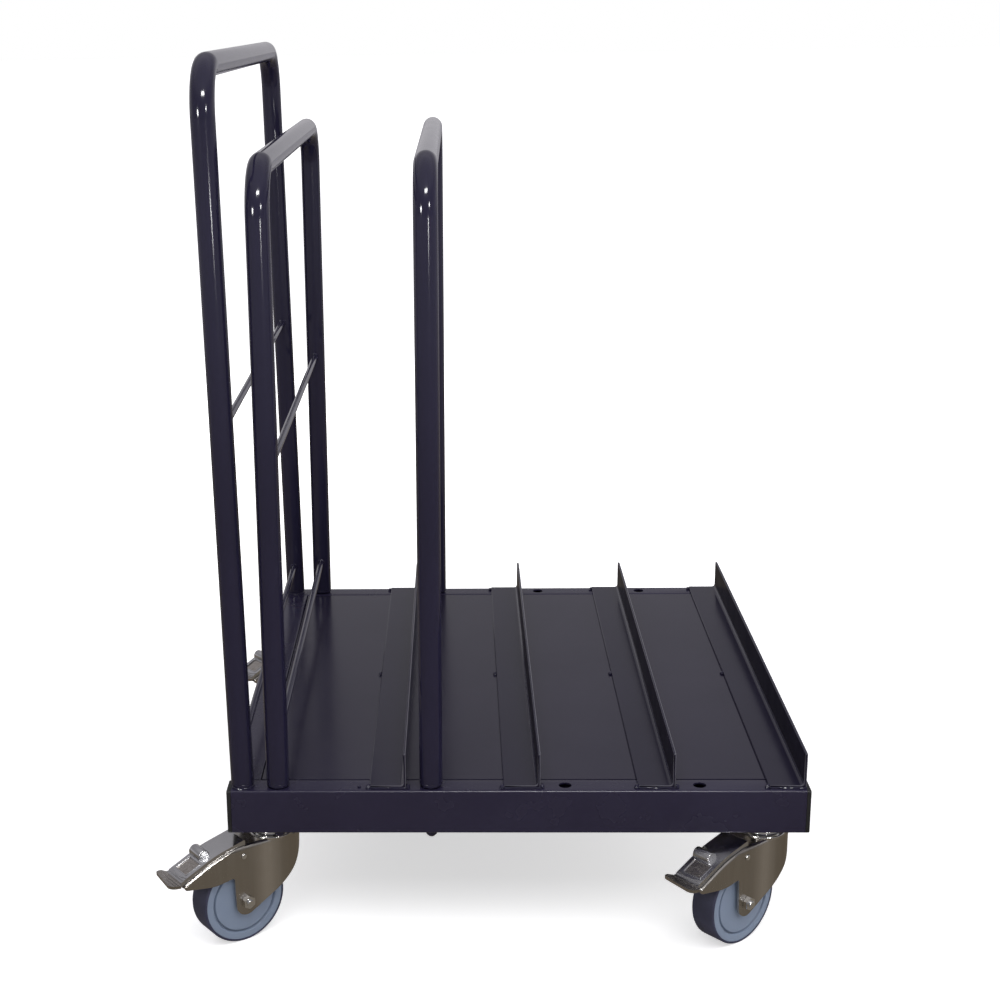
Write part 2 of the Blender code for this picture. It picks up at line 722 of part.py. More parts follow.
def axle_mesh():
    """Axle bolt with its sleeve between the cheeks and a hexagon at each end."""
    sleeve = FORK_INNER_WIDTH / 2 - SEAT_GAP
    seat = FORK_WIDTH / 2 + SEAT_GAP
    end = seat + AXLE_HEX_HEIGHT / 2
    body = turned((
        (0, end),
        (AXLE_DIAMETER / 2, end),
        (AXLE_DIAMETER / 2, sleeve),
        (SLEEVE_DIAMETER / 2, sleeve),
        (SLEEVE_DIAMETER / 2, -sleeve),
        (AXLE_DIAMETER / 2, -sleeve),
        (AXLE_DIAMETER / 2, -end),
        (0, -end),
    ), SMALL_STEPS)
    for side in (-1, 1):
        middle = side * (seat + AXLE_HEX_HEIGHT / 2)
        body = joined(body, hexagon(AXLE_HEX_FLATS, AXLE_HEX_HEIGHT, middle))
    return across(body)


def hub_mesh():
    """Moulded wheel: rim, cover disc inside a groove, bore on the sleeve."""
    radius = WHEEL_DIAMETER / 2
    rim = radius - TREAD_DEPTH - SEAT_GAP
    face = WHEEL_WIDTH / 2 - RIM_SETBACK
    cover = WHEEL_WIDTH / 2 - COVER_SETBACK
    cover_radius = COVER_DIAMETER / 2
    bore = SLEEVE_DIAMETER / 2 + RUN_GAP
    upper = [
        (bore, cover),
        (cover_radius - GROOVE / 2, cover),
        (cover_radius, cover - GROOVE),
        (cover_radius + GROOVE / 2, face),
        (rim, face),
    ]
    lower = [(r, -w) for r, w in reversed(upper)]
    return across(turned(upper + lower + upper[:1], WHEEL_STEPS))


def tyre_mesh():
    """Tread band with bevelled shoulders; its flats stand on the floor."""
    radius = WHEEL_DIAMETER / 2 / math.cos(math.pi / WHEEL_STEPS)
    rim = WHEEL_DIAMETER / 2 - TREAD_DEPTH
    half = WHEEL_WIDTH / 2
    upper = [
        (rim, half),
        (radius - TREAD_SHOULDER, half),
        (radius, half - TREAD_SHOULDER),
    ]
    lower = [(r, -w) for r, w in reversed(upper)]
    return across(turned(upper + lower + upper[:1], WHEEL_STEPS))


def lip_mesh():
    """Flared foot lip of the pedal: a scooped strip trimmed to its plan outline."""
    half = LIP_WIDTH / 2
    neck = PEDAL_WIDTH / 2
    plan = rounded((
        (LIP_SIDE[0][0], -neck, 0),
        (LIP_NECK_X, -neck, 0),
        (LIP_FLARE_X, -half, LIP_FLARE_ROUND),
        (LIP_END_X - LIP_SKEW, -half, LIP_CORNER),
        (LIP_END_X + LIP_SKEW, half, LIP_CORNER),
        (LIP_FLARE_X, half, LIP_FLARE_ROUND),
        (LIP_NECK_X, neck, 0),
        (LIP_SIDE[0][0], neck, 0),
    ))
    return common(side_prism(LIP_SIDE, 2 * LIP_WIDTH), prism([plan], CUT_REACH))


def pedal_top(x):
    """Height of the pedal's top on its straight outer stretch."""
    return PEDAL_SIDE[1][1] + PEDAL_SLOPE * (x - PEDAL_SIDE[1][0])


def pedal_mesh():
    """Brake pedal: a pressed channel with ears on the pin, a brake shoe, a tab and a lip."""
    tab = cylinder(TAB_DIAMETER / 2, TAB_WIDTH, SMALL_STEPS, "Y", (TAB_X, TAB_Y, pedal_top(TAB_X)))
    pedal = joined(side_prism(PEDAL_SIDE, PEDAL_WIDTH), tab)
    pedal = cut(pedal, side_prism(PEDAL_HOLLOW, PEDAL_WIDTH - 2 * PEDAL_SHEET))
    pedal = joined(pedal, side_prism(SHOE_SIDE, SHOE_WIDTH))
    pedal = joined(pedal, lip_mesh())
    window = block(
        (-WINDOW_LENGTH / 2, -WINDOW_WIDTH / 2, -WINDOW_DEPTH),
        (WINDOW_LENGTH / 2, WINDOW_WIDTH / 2, WINDOW_DEPTH))
    window.transform(Matrix.Rotation(math.atan(-PEDAL_SLOPE), 4, "Y"))
    window.transform(Matrix.Translation((WINDOW_X, 0, pedal_top(WINDOW_X))))
    pedal = cut(pedal, window)
    bore = cylinder(PEDAL_PIN_DIAMETER / 2 + RUN_GAP, CUT_REACH, SMALL_STEPS, "Y",
                    (PEDAL_PIVOT_X, 0, PEDAL_PIVOT_Z))
    pedal = cut(pedal, bore)
    pedal.transform(Matrix.Translation((-PEDAL_PIVOT_X, 0, -PEDAL_PIVOT_Z)))
    return pedal


def pin_mesh():
    """Pedal pin with a riveted head outside each cheek."""
    seat = FORK_WIDTH / 2 + SEAT_GAP
    end = seat + PEDAL_PIN_HEAD_HEIGHT
    return across(turned((
        (0, end),
        (PEDAL_PIN_HEAD / 2, end),
        (PEDAL_PIN_HEAD / 2, seat),
        (PEDAL_PIN_DIAMETER / 2, seat),
        (PEDAL_PIN_DIAMETER / 2, -seat),
        (PEDAL_PIN_HEAD / 2, -seat),
        (PEDAL_PIN_HEAD / 2, -end),
        (0, -end),
    ), SMALL_STEPS))


def build_casters():
    head = head_mesh()
    fork = fork_mesh()
    axle = axle_mesh()
    hub = hub_mesh()
    tyre = tyre_mesh()
    pedal = pedal_mesh()
    pin = pin_mesh()
    axle_place = (TRAIL, 0, -AXLE_DROP)
    pivot = (PEDAL_PIVOT_X, 0, PEDAL_PIVOT_Z)
    corners = (
        ("front_left", -1, -1, HEADING_FRONT_LEFT),
        ("front_right", 1, -1, HEADING_FRONT_RIGHT),
        ("rear_left", -1, 1, HEADING_REAR_LEFT),
        ("rear_right", 1, 1, HEADING_REAR_RIGHT),
    )
    for name, side_x, side_y, heading in corners:
        x = side_x * (RAIL_LENGTH / 2 - CASTER_INSET_X)
        y = side_y * (FRAME_DEPTH / 2 - CASTER_INSET_Y)
        swivel = at(x, y, CASTER_HEIGHT)
        place(name + "_corner_plate", plate_mesh(side_x, side_y), FRAME_PAINT, swivel)
        place(name + "_swivel_head", head.copy(), BOLT_STEEL, swivel)
        frame = joint_frame(name + "_caster", swivel, (0, 0, heading + math.pi))
        place(name + "_fork", fork.copy(), FORK_ZINC, parent=frame)
        place(name + "_axle_bolt", axle.copy(), BOLT_STEEL, axle_place, frame)
        place(name + "_wheel_hub", hub.copy(), WHEEL_PLASTIC, axle_place, frame)
        place(name + "_tyre", tyre.copy(), TYRE_RUBBER, axle_place, frame)
        place(name + "_brake_pedal", pedal.copy(), PEDAL_ZINC, pivot, frame)
        place(name + "_pedal_pin", pin.copy(), BOLT_STEEL, pivot, frame)


clear_scene()
TROLLEY = bpy.data.collections.new("carton_rack_trolley")
bpy.context.scene.collection.children.link(TROLLEY)
build_rails()
build_caps()
build_deck()
build_dividers()
build_hoops()
build_casters()
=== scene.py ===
"""Looks of the carton rack trolley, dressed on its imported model.

Each piece repeats the form of a CAD node with finer curves and rounded edges, in its real finish.
"""
import json
from math import acos, atan, atan2, ceil, cos, pi, radians, sin, sqrt, tan

import bmesh
import bpy
from mathutils import Matrix, Vector, noise

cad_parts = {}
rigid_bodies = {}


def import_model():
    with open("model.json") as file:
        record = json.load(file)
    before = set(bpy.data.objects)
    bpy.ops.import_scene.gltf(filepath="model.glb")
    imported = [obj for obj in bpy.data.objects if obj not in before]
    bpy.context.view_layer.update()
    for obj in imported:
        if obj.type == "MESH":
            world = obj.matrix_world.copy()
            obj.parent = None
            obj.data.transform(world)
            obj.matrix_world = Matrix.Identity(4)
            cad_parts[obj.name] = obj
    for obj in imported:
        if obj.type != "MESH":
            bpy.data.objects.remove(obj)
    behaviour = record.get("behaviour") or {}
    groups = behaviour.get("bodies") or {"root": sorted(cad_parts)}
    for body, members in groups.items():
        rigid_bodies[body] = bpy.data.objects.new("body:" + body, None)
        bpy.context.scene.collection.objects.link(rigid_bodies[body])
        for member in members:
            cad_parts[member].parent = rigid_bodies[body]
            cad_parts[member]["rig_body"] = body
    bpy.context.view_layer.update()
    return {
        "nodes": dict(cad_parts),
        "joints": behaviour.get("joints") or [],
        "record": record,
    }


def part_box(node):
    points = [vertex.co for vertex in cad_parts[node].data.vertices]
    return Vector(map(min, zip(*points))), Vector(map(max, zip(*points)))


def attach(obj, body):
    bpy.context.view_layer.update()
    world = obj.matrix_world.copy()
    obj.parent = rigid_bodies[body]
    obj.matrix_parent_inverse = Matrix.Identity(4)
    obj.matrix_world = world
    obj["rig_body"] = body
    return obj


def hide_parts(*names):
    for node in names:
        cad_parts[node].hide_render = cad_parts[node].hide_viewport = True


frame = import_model()

MM = 0.001
SCENE = bpy.context.scene
NODES = frame["nodes"]
JOINTS = {joint["name"]: joint for joint in frame["joints"]}
SLOTS = {part["node"]: part["material_slot"] for part in frame["record"]["subparts"]}
CORNERS = ("front_left", "front_right", "rear_left", "rear_right")
DIVIDERS = 4
move = Matrix.Translation


def sized(*corners):
    """Corners in metres, from corners in millimetres."""
    return tuple(tuple(size * MM for size in corner) for corner in corners)


def spin(angle, axis):
    """A turn about an axis."""
    return Matrix.Rotation(angle, 4, axis)


# Fits and sections as in the CAD model, but for finer edges and the deck's open seam
SEAT_GAP = 0.3 * MM
RUN_GAP = 0.4 * MM
SLIDE_GAP = 0.6 * MM
RAIL_WALL = 2 * MM
RAIL_CORNER = 2.5 * MM
CAP_FLANGE = 4.5 * MM
CAP_EDGE = 1.4 * MM
HOLE_DIAMETER = 14 * MM
DECK_SHEET = 2 * MM
DECK_EDGE = 0.8 * MM
DECK_SEAM = 0.5 * MM
ANGLE_THICKNESS = 3 * MM
ANGLE_ROOT = 4 * MM
ANGLE_TOE = 1.5 * MM
ANGLE_EDGE = 1.0 * MM
PLATE_END = 20 * MM
PUSH_HOOP_LEAN = radians(0.9)
HOOP_DIAMETER = 25 * MM
HOOP_BEND = 50 * MM
ROD_DIAMETER = 8 * MM
COLLAR_HEIGHT = 5 * MM
COLLAR_EDGE = 3 * MM
PIN_DIAMETER = 12 * MM
PIN_LENGTH = 60 * MM
PIN_TAPER = 3 * MM
PIN_END_ROUND = 0.6 * MM

# Edge roundings that several pieces share
FINE_ROUND = 0.3 * MM
PRESSED_ROUND = 0.4 * MM
TURNED_ROUND = 0.8 * MM
BOLT_ROUND = 0.9 * MM
CUP_ROUND = 1.2 * MM

# Caster, in its own frame: x along the trail, y to the near cheek, z up from the mount
WHEEL_DIAMETER = 100 * MM
WHEEL_WIDTH = 30 * MM
STEM_DIAMETER = 10 * MM
STEM_END = 3 * MM
NUT_FLATS = 16 * MM
NUT_HEIGHT = 8 * MM
PLATE_THICKNESS = 5 * MM
HEAD_DIAMETER = 40 * MM
HEAD_RIM = 3 * MM
HEAD_FOOT_DIAMETER = 34 * MM
HEAD_DEPTH = 8.3 * MM
HEAD_RIM_ROUND = 1.3 * MM
KING_DIAMETER = 12 * MM
RETAINER_DIAMETER = 22 * MM
RETAINER_HEIGHT = 3 * MM
RETAINER_TOP_ROUND = 0.5 * MM
FORK_SHEET = 2.5 * MM
FORK_INNER_WIDTH = 35 * MM
FORK_TOP = -14 * MM
FORK_NOSE = -31.4 * MM
FORK_NOSE_ROUND = 18 * MM
FORK_BEND = 4 * MM
FORK_EDGE = 0.5 * MM
FORK_ROLL = 2.0 * MM
FORK_SIDE = sized(
    (66, FORK_TOP / MM, 150), (121.2, -39.7, 2.5), (121.4, -44.8, 3), (84, -51.5, 60),
    (60.5, -48, 2.5), (58.5, -104.4, 13), (-20, -62.8, 70),
    (FORK_NOSE / MM, FORK_TOP / MM + 1.5, 0),
)
CROWN_END = 42 * MM
RACE_DIAMETER = 38 * MM
RACE_ROUND = 2.2 * MM
RACE_ROOT = 1.4 * MM
DISH_DIAMETER = 50 * MM
DISH_TOP = -12.5 * MM
NOSE_SLOT_WIDTH = 22 * MM
NOSE_SLOT_TOP = -34 * MM
TREAD_DEPTH = 2.5 * MM
TREAD_SHOULDER = 1.6 * MM
RIM_SETBACK = 0.5 * MM
COVER_DIAMETER = 76 * MM
COVER_SETBACK = 1 * MM
COVER_ROUND = 0.5 * MM
GROOVE = 3.0 * MM
GROOVE_ROUND = 0.2 * MM
SLEEVE_DIAMETER = 12 * MM
AXLE_DIAMETER = 8 * MM
AXLE_HEX_FLATS = 13 * MM
AXLE_HEX_HEIGHT = 5.5 * MM
AXLE_THREAD_END = 3 * MM
PEDAL_SHEET = 2 * MM
RIVET_HEAD = 6.4 * MM
RIVET_HEAD_HEIGHT = 1.2 * MM
PEDAL_SIDE = sized(
    (44, -7.8, 1.5), (82, -16.5, 120), (121, -33.5, 1.5), (121.5, -36.4, 0), (124, -36.4, 0),
    (122.5, -43.5, 2), (82, -25, 100), (60, -19.5, 4), (54, -29.3, 4), (44, -29.3, 4),
)
PEDAL_HOLLOW = sized((40, -9, 0), (82, -18.6, 120), (120.5, -35.4, 0), (120.5, -60, 0), (40, -60, 0))
SHOE_WIDTH = 18 * MM
SHOE_SIDE = sized((63, -13.2, 0), (72, -15.3, 0), (72, -32.4, 0), (63, -29.8, 0))
TAB_WIDTH = 22 * MM
TAB_DIAMETER = 14 * MM
TAB_ROUND = 0.9 * MM
TAB_X = 89 * MM
TAB_Y = -5.4 * MM
WINDOW_LENGTH = 19 * MM
WINDOW_WIDTH = 23 * MM
WINDOW_DEPTH = 0.8 * MM
WINDOW_X = 106.5 * MM
WINDOW_RIM = 0.9 * MM
WINDOW_CORNER = 1 * MM
CREASE_X = 117.6 * MM
CREASE_BOW = 2.6 * MM
CREASE_RADIUS = 0.8 * MM
LIP_WIDTH = 46 * MM
LIP_SIDE = sized(
    (116, -34.5, 0), (128, -35, 20), (146, -31.8, 0), (146, -35.2, 0), (127, -38.5, 20),
    (116, -38, 0),
)
LIP_NECK_X = 124 * MM
LIP_FLARE_X = 127.5 * MM
LIP_FLARE_ROUND = 1.5 * MM
LIP_END_X = 138 * MM
LIP_SKEW = 3.5 * MM
LIP_CORNER = 6 * MM

# Sizes that follow, and the reach of tools that cut right through
FORK_WIDTH = FORK_INNER_WIDTH + 2 * FORK_SHEET
PEDAL_WIDTH = FORK_INNER_WIDTH - 2 * SLIDE_GAP
PEDAL_SLOPE = (PEDAL_SIDE[2][1] - PEDAL_SIDE[1][1]) / (PEDAL_SIDE[2][0] - PEDAL_SIDE[1][0])
HOOP_RADIUS = HOOP_DIAMETER / 2
CUT_REACH = 200 * MM

# Weld beads: radius, depth of the lumps, lumps a metre
ROD_BEAD = (1.3 * MM, 0.5 * MM, 300)
FOOT_BEAD = (1.6 * MM, 0.6 * MM, 260)
END_BEAD = (1.1 * MM, 0.4 * MM, 240)
FOOT_BEAD_INSET = 1.2 * MM
FOOT_BEAD_RISE = 0.6 * MM
FOOT_BEAD_SEED = 1.7
END_BEAD_RISE = 0.5 * MM

# Tack welds: x and y from a divider's corner, length, width, height, turn; depth and number of lumps
FRONT_TACK = (-1.0 * MM, 2.5 * MM, 9 * MM, 6 * MM, 4.0 * MM, 1.2)
MIDDLE_TACK = (-1.5 * MM, 0, 10 * MM, 5 * MM, 3.0 * MM, 1.5)
REAR_TACK = (-1.5 * MM, -4 * MM, 9 * MM, 5 * MM, 3.0 * MM, 1.2)
RIGHT_TACK = (1.5 * MM, 3 * MM, 8 * MM, 6 * MM, 4.2 * MM, 1.7)
STRAY_TACK = (-11 * MM, 4 * MM, 4 * MM, 4 * MM, 2.0 * MM, 0.4)
TACK_LUMPS = (0.22, 1.6)
TACK_SEED_STEP = 0.37

# Facets, and the least part of a normal that counts as facing a way
ARC_SAGITTA = 0.02 * MM
ARC_COARSEST = 0.3
TUBE_SIDES = 40
BEND_STEPS = 24
WHEEL_STEPS = 96
ROUND_STEPS = 48
SMALL_STEPS = 24
EDGE_STEPS = 4
FORK_BEND_STEPS = 6
CREASE_SIDES = 12
BEAD_SIDES = 10
TACK_SIDES = 16
TACK_RINGS = 10
ROUND_PROFILE = 0.5
SMOOTH_ANGLE = radians(32)
EDGE_ANGLE = radians(40)
FACING = 0.5
SQUARELY = 0.9
MERGE = 0.005 * MM
FLAT_ANGLE = 5e-6

# Turns of a prism: its outline's x and y become y and z, or left and up
ALONG_X = Matrix(((0, 0, 1, 0), (1, 0, 0, 0), (0, 1, 0, 0), (0, 0, 0, 1)))
ALONG_Y = Matrix(((-1, 0, 0, 0), (0, 0, 1, 0), (0, 1, 0, 0), (0, 0, 0, 1)))

# Powder coats: name, dark and light colour, roughness, depth of the peel, sheen, refraction
COATS = (
    ("frame", (0.014, 0.011, 0.030), (0.023, 0.020, 0.046), 0.25, 0.006 * MM, 0.5, 1.45),
    ("deck", (0.012, 0.010, 0.025), (0.019, 0.016, 0.034), 0.20, 0.003 * MM, 0.5, 1.45),
    ("angle", (0.008, 0.006, 0.020), (0.012, 0.010, 0.028), 0.20, 0.004 * MM, 0.42, 1.45),
    ("hoop", (0.0135, 0.0120, 0.028), (0.0185, 0.0165, 0.038), 0.11, 0.002 * MM, 0.5, 1.45),
    # A darker, less reflective coat for the upright's left face: painted shade.
    ("dull", (0.006, 0.005, 0.012), (0.010, 0.008, 0.018), 0.30, 0.004 * MM, 0.5, 1.1),
    # A lighter coat for the dividers' rounded edges: painted highlight.
    ("rubbed", (0.06, 0.058, 0.075), (0.12, 0.118, 0.14), 0.22, 0.004 * MM, 0.5, 1.45),
)
COAT_GLOSS = (0.8, 1.25)
COAT_GRAIN_SHARE = 0.35

# Mouldings: slot, name, dark and light colour, range of roughness, clouds and grains a metre, depth
MOULDINGS = (
    ("cap_plastic", "cap_moulding",
     (0.006, 0.006, 0.007), (0.012, 0.012, 0.013), 0.42, 0.6, 60, 1600, 0.03 * MM),
    ("tyre_rubber", "tread_rubber",
     (0.021, 0.022, 0.050), (0.047, 0.049, 0.095), 0.5, 0.7, 45, 700, 0.06 * MM),
    ("wheel_plastic", "wheel_moulding",
     (0.185, 0.23, 0.315), (0.22, 0.27, 0.36), 0.36, 0.5, 28, 1800, 0.02 * MM),
)
MOULDING_IOR = 1.45

# Zinc plate: colours, roughness and its range, depth of the draw marks
ZINC_ROUGHNESS = 0.2
ZINC_MARK = 0.006 * MM
FORK_ZINC = ((0.52, 0.495, 0.46), (0.47, 0.45, 0.42))
FORK_GLOSS = (0.15, 0.27)
FORK_STREAK = (0.42, 0.39, 0.35)
STREAK_STRENGTH = 0.7
PEDAL_ZINC = ((0.60, 0.60, 0.61), (0.52, 0.52, 0.53))
PEDAL_GLOSS = (0.14, 0.26)
GRIP_ZINC = ((0.36, 0.33, 0.30), (0.50, 0.47, 0.44))
BOLT_ZINC = ((0.84, 0.84, 0.83), (0.70, 0.70, 0.69))
BOLT_ROUGHNESS = 0.12
BOLT_GLOSS = (0.06, 0.15)
BOLT_MARK = 0.004 * MM

# Fork: band of painted reflection (x, half width, fade), painted shade on the nose and bright race
REFLECTION_BAND = (18 * MM, 3 * MM, 17 * MM)
REFLECTION_ZINC = (0.69, 0.665, 0.635)
NOSE_SHADE_FADE = (-12 * MM, 3 * MM)
NOSE_SHADE_ZINC = (0.42, 0.385, 0.34)
RACE_FADE = (FORK_TOP + 0.2 * MM, FORK_TOP + 0.6 * MM)
RACE_ZINC = (0.80, 0.80, 0.79)

# Pedal: pressed grip on the lip and in the window
LIP_FADE = 1 * MM
LIP_RIB_PITCH = 4.2 * MM
LIP_RIB_DEPTH = 0.25 * MM
GRIP_INSET = 1 * MM
GRIP_FADE = 0.4 * MM
GRIP_DEPTH = 0.15 * MM

# Part of the noise that is spread over a finish: the narrower, the harder
SOFT_NOISE = (0.15, 0.85)
FIRM_NOISE = (0.2, 0.8)
HARD_NOISE = (0.4, 0.6)

# The photograph's camera: place, yaw, pitch and roll, sensor and lens in millimetres
CAMERA_PLACE = (-0.0229, -2.0685, 0.9854)
CAMERA_TURN = (-0.0345, -0.2901, -0.0151)
CAMERA_SENSOR = 36
CAMERA_LENS = 63.74
CAMERA_SHIFT = (0.10, 0.04)

# Floor: distances, glow to the camera, colours in reflections
WHITE = (1, 1, 1, 1)
FLOOR_REACH = 40.0
FLOOR_NEAR = 0.5
FLOOR_FAR = 1.6
FLOOR_GLOW = 0.58
FLOOR_ROUGHNESS = 0.9
FLOOR_COLOURS = ((0.84, 0.84, 0.84), (0.88, 0.88, 0.88))
FLOOR_MIRRORED = (0.20, 0.175, 0.145)
FLOOR_MIRRORED_FAR = (0.40, 0.39, 0.42)

# Room: strengths of its light, and the directions between which they change
ROOM_COLOUR = (0.97, 0.95, 1.0, 1)
ROOM_FRONT = 0.24
ROOM_BACK = 0.33
ROOM_HORIZON = 0.58
ROOM_CEILING = 0.53
ROOM_DEPTH = 0.4
ROOM_LOW = 0.10
ROOM_HIGH = 0.32
CEILING_LOW = 0.48
CEILING_HIGH = 0.75

# Lamps: name, place, aim, width, height, glow, and whether it only makes highlights
LAMP_AIM = (-0.1, -0.3, 0.8)
LIGHTS = (
    ("softbox", (0.1, -1.7, 2.6), (0.0, 0.0, 0.2), 2.6, 2.0, 3.3, False),
    ("right_fill", (2.7, -0.2, 1.3), (0.0, 0.0, 0.4), 2.0, 1.6, 2.4, False),
    ("back_fill", (-1.0, 2.8, 1.1), (0.0, 0.0, 0.3), 2.4, 1.4, 2.4, False),
    ("ceiling_lamp", (0.25, -1.8, 2.4), LAMP_AIM, 0.9, 0.3, 40, True),
    ("left_window", (-1.65, -2.3, 1.26), LAMP_AIM, 0.4, 0.38, 55, True),
    ("right_window", (1.45, -2.1, 1.55), LAMP_AIM, 0.3, 0.25, 55, True),
    ("right_door", (1.1, -2.45, 0.62), LAMP_AIM, 0.3, 0.1, 40, True),
)
KEPT_FROM_LAMPS = ("deck_panel_", "divider_angle_", "left_rail_", "right_rail_", "rear_rail_")


def rounded(corners):
    """Points of a closed outline whose corners (x, y, radius) become arcs."""
    points = []
    count = len(corners)
    for index in range(count):
        x, y, radius = corners[index]
        here = Vector((x, y))
        back = (Vector(corners[index - 1][:2]) - here).normalized()
        ahead = (Vector(corners[(index + 1) % count][:2]) - here).normalized()
        if radius <= 0:
            points.append((x, y))
            continue
        half = back.angle(ahead) / 2
        centre = here + (back + ahead).normalized() * (radius / sin(half))
        start = here + back * (radius / tan(half)) - centre
        end = here + ahead * (radius / tan(half)) - centre
        sweep = atan2(start.cross(end), start.dot(end))
        largest = 2 * acos(1 - min(ARC_SAGITTA / radius, ARC_COARSEST))
        steps = max(2, ceil(abs(sweep) / largest))
        for step in range(steps + 1):
            turn = Matrix.Rotation(sweep * step / steps, 2)
            points.append(tuple(centre + turn @ start))
    return points


def rectangle(half_x, half_y, corner):
    """Outline of a rectangle with rounded corners."""
    return rounded((
        (-half_x, -half_y, corner),
        (half_x, -half_y, corner),
        (half_x, half_y, corner),
        (-half_x, half_y, corner),
    ))


def circle(radius, steps):
    """Outline of a circle, turned by half a step."""
    angles = [2 * pi * (step + 0.5) / steps for step in range(steps)]
    return [(radius * cos(angle), radius * sin(angle)) for angle in angles]


def added(name, data):
    """A new object in the scene."""
    item = bpy.data.objects.new(name, data)
    SCENE.collection.objects.link(item)
    return item


def edited(mesh, change):
    """A mesh after change(work) has worked on it in its edit form."""
    work = bmesh.new()
    work.from_mesh(mesh)
    change(work)
    work.to_mesh(mesh)
    work.free()
    return mesh


def primitive(name, create, **settings):
    """A mesh made by one of Blender's own shapes."""
    return edited(bpy.data.meshes.new(name), lambda work: create(work, **settings))


def clean(work):
    """Merges doubled points, drops empty faces and turns all faces outward."""
    bmesh.ops.remove_doubles(work, verts=work.verts, dist=MERGE)
    bmesh.ops.dissolve_degenerate(work, edges=work.edges, dist=MERGE)
    bmesh.ops.recalc_face_normals(work, faces=work.faces)


def flatten(work):
    """Takes out edges that only divide a flat face."""
    bmesh.ops.dissolve_limit(work, angle_limit=FLAT_ANGLE, verts=work.verts, edges=work.edges)


def meshed(source):
    """The evaluated mesh of a curve or a mesh with modifiers; the source is removed."""
    SCENE.collection.objects.link(source)
    graph = bpy.context.evaluated_depsgraph_get()
    mesh = bpy.data.meshes.new_from_object(source.evaluated_get(graph))
    bpy.data.objects.remove(source)
    return edited(mesh, clean)


def prism(rings, thickness):
    """A flat outline, with any holes, extruded about its own plane."""
    curve = bpy.data.curves.new("outline", "CURVE")
    curve.dimensions = "2D"
    curve.fill_mode = "BOTH"
    curve.extrude = thickness / 2
    for ring in rings:
        spline = curve.splines.new("POLY")
        spline.points.add(len(ring) - 1)
        for point, (x, y) in zip(spline.points, ring):
            point.co = (x, y, 0, 1)
        spline.use_cyclic_u = True
    return edited(meshed(bpy.data.objects.new("outline", curve)), flatten)


def side_prism(corners, width):
    """A side outline (x along the trail, z up) extruded across the trail."""
    mesh = prism([rounded(corners)], width)
    mesh.transform(spin(pi / 2, "X"))
    return mesh


def turned(profile, steps):
    """A profile (radius, height), top to bottom on its outer side, turned about Z."""
    mesh = bpy.data.meshes.new("profile")
    points = [(radius, 0, height) for radius, height in profile]
    edges = [(index, index + 1) for index in range(len(points) - 1)]
    mesh.from_pydata(points, edges, [])
    source = bpy.data.objects.new("profile", mesh)
    screw = source.modifiers.new("screw", "SCREW")
    screw.steps = steps
    screw.use_merge_vertices = True
    screw.merge_threshold = MERGE
    return meshed(source)


def soft(corners):
    """An open profile whose (radius, height, rounding) corners become small arcs."""
    points = []
    for index, corner in enumerate(corners):
        if corner[2] <= 0:
            points.append(corner[:2])
            continue
        before = (*corners[index - 1][:2], 0)
        after = (*corners[index + 1][:2], 0)
        points += rounded((before, corner, after))[1:-1]
    return points


def swept(path, radius, sides, closed=False):
    """A round bar along a path. Its section has four sides, and two more for each bevel step."""
    curve = bpy.data.curves.new("path", "CURVE")
    curve.dimensions = "3D"
    curve.bevel_depth = radius
    curve.bevel_resolution = (sides - 4) // 2
    curve.use_fill_caps = not closed
    spline = curve.splines.new("POLY")
    spline.points.add(len(path) - 1)
    for point, place in zip(spline.points, path):
        point.co = (*place, 1)
    spline.use_cyclic_u = closed
    return meshed(bpy.data.objects.new("path", curve))


def cylinder(radius, length, steps, axis="Z", centre=(0, 0, 0)):
    """A round bar about a centre, along Z or Y."""
    mesh = prism([circle(radius, steps)], length)
    if axis == "Y":
        mesh.transform(spin(pi / 2, "X"))
    mesh.transform(move(centre))
    return mesh


def block(low, high):
    """A box between two corners."""
    mesh = primitive("block", bmesh.ops.create_cube, size=1)
    low, high = Vector(low), Vector(high)
    mesh.transform(move((low + high) / 2) @ Matrix.Diagonal((*(high - low), 1)))
    return mesh


def boolean(body, tool, operation):
    """A body after a boolean with a tool."""
    target = bpy.data.objects.new("target", body)
    other = added("tool", tool)
    step = target.modifiers.new("boolean", "BOOLEAN")
    step.operation = operation
    step.solver = "EXACT"
    step.object = other
    result = meshed(target)
    bpy.data.objects.remove(other)
    return result


def cut(body, tool):
    return boolean(body, tool, "DIFFERENCE")


def joined(body, tool):
    return boolean(body, tool, "UNION")


def common(body, tool):
    return boolean(body, tool, "INTERSECT")


def rounded_over(mesh, radius, segments, chosen):
    """Rounds over the sharp edges that chosen(edge) names."""
    def bevel(work):
        rim = [edge for edge in work.edges if edge.calc_face_angle(0) > EDGE_ANGLE and chosen(edge)]
        bmesh.ops.bevel(
            work, geom=rim, offset=radius, segments=segments, profile=ROUND_PROFILE, affect="EDGES")

    return edited(mesh, bevel)


def rim_rounded(mesh, height, radius, segments):
    """Rounds over the sharp edges of a prism that lie at one height."""
    def level(edge):
        return all(abs(vert.co.z - height) < MERGE for vert in edge.verts)

    return rounded_over(mesh, radius, segments, level)


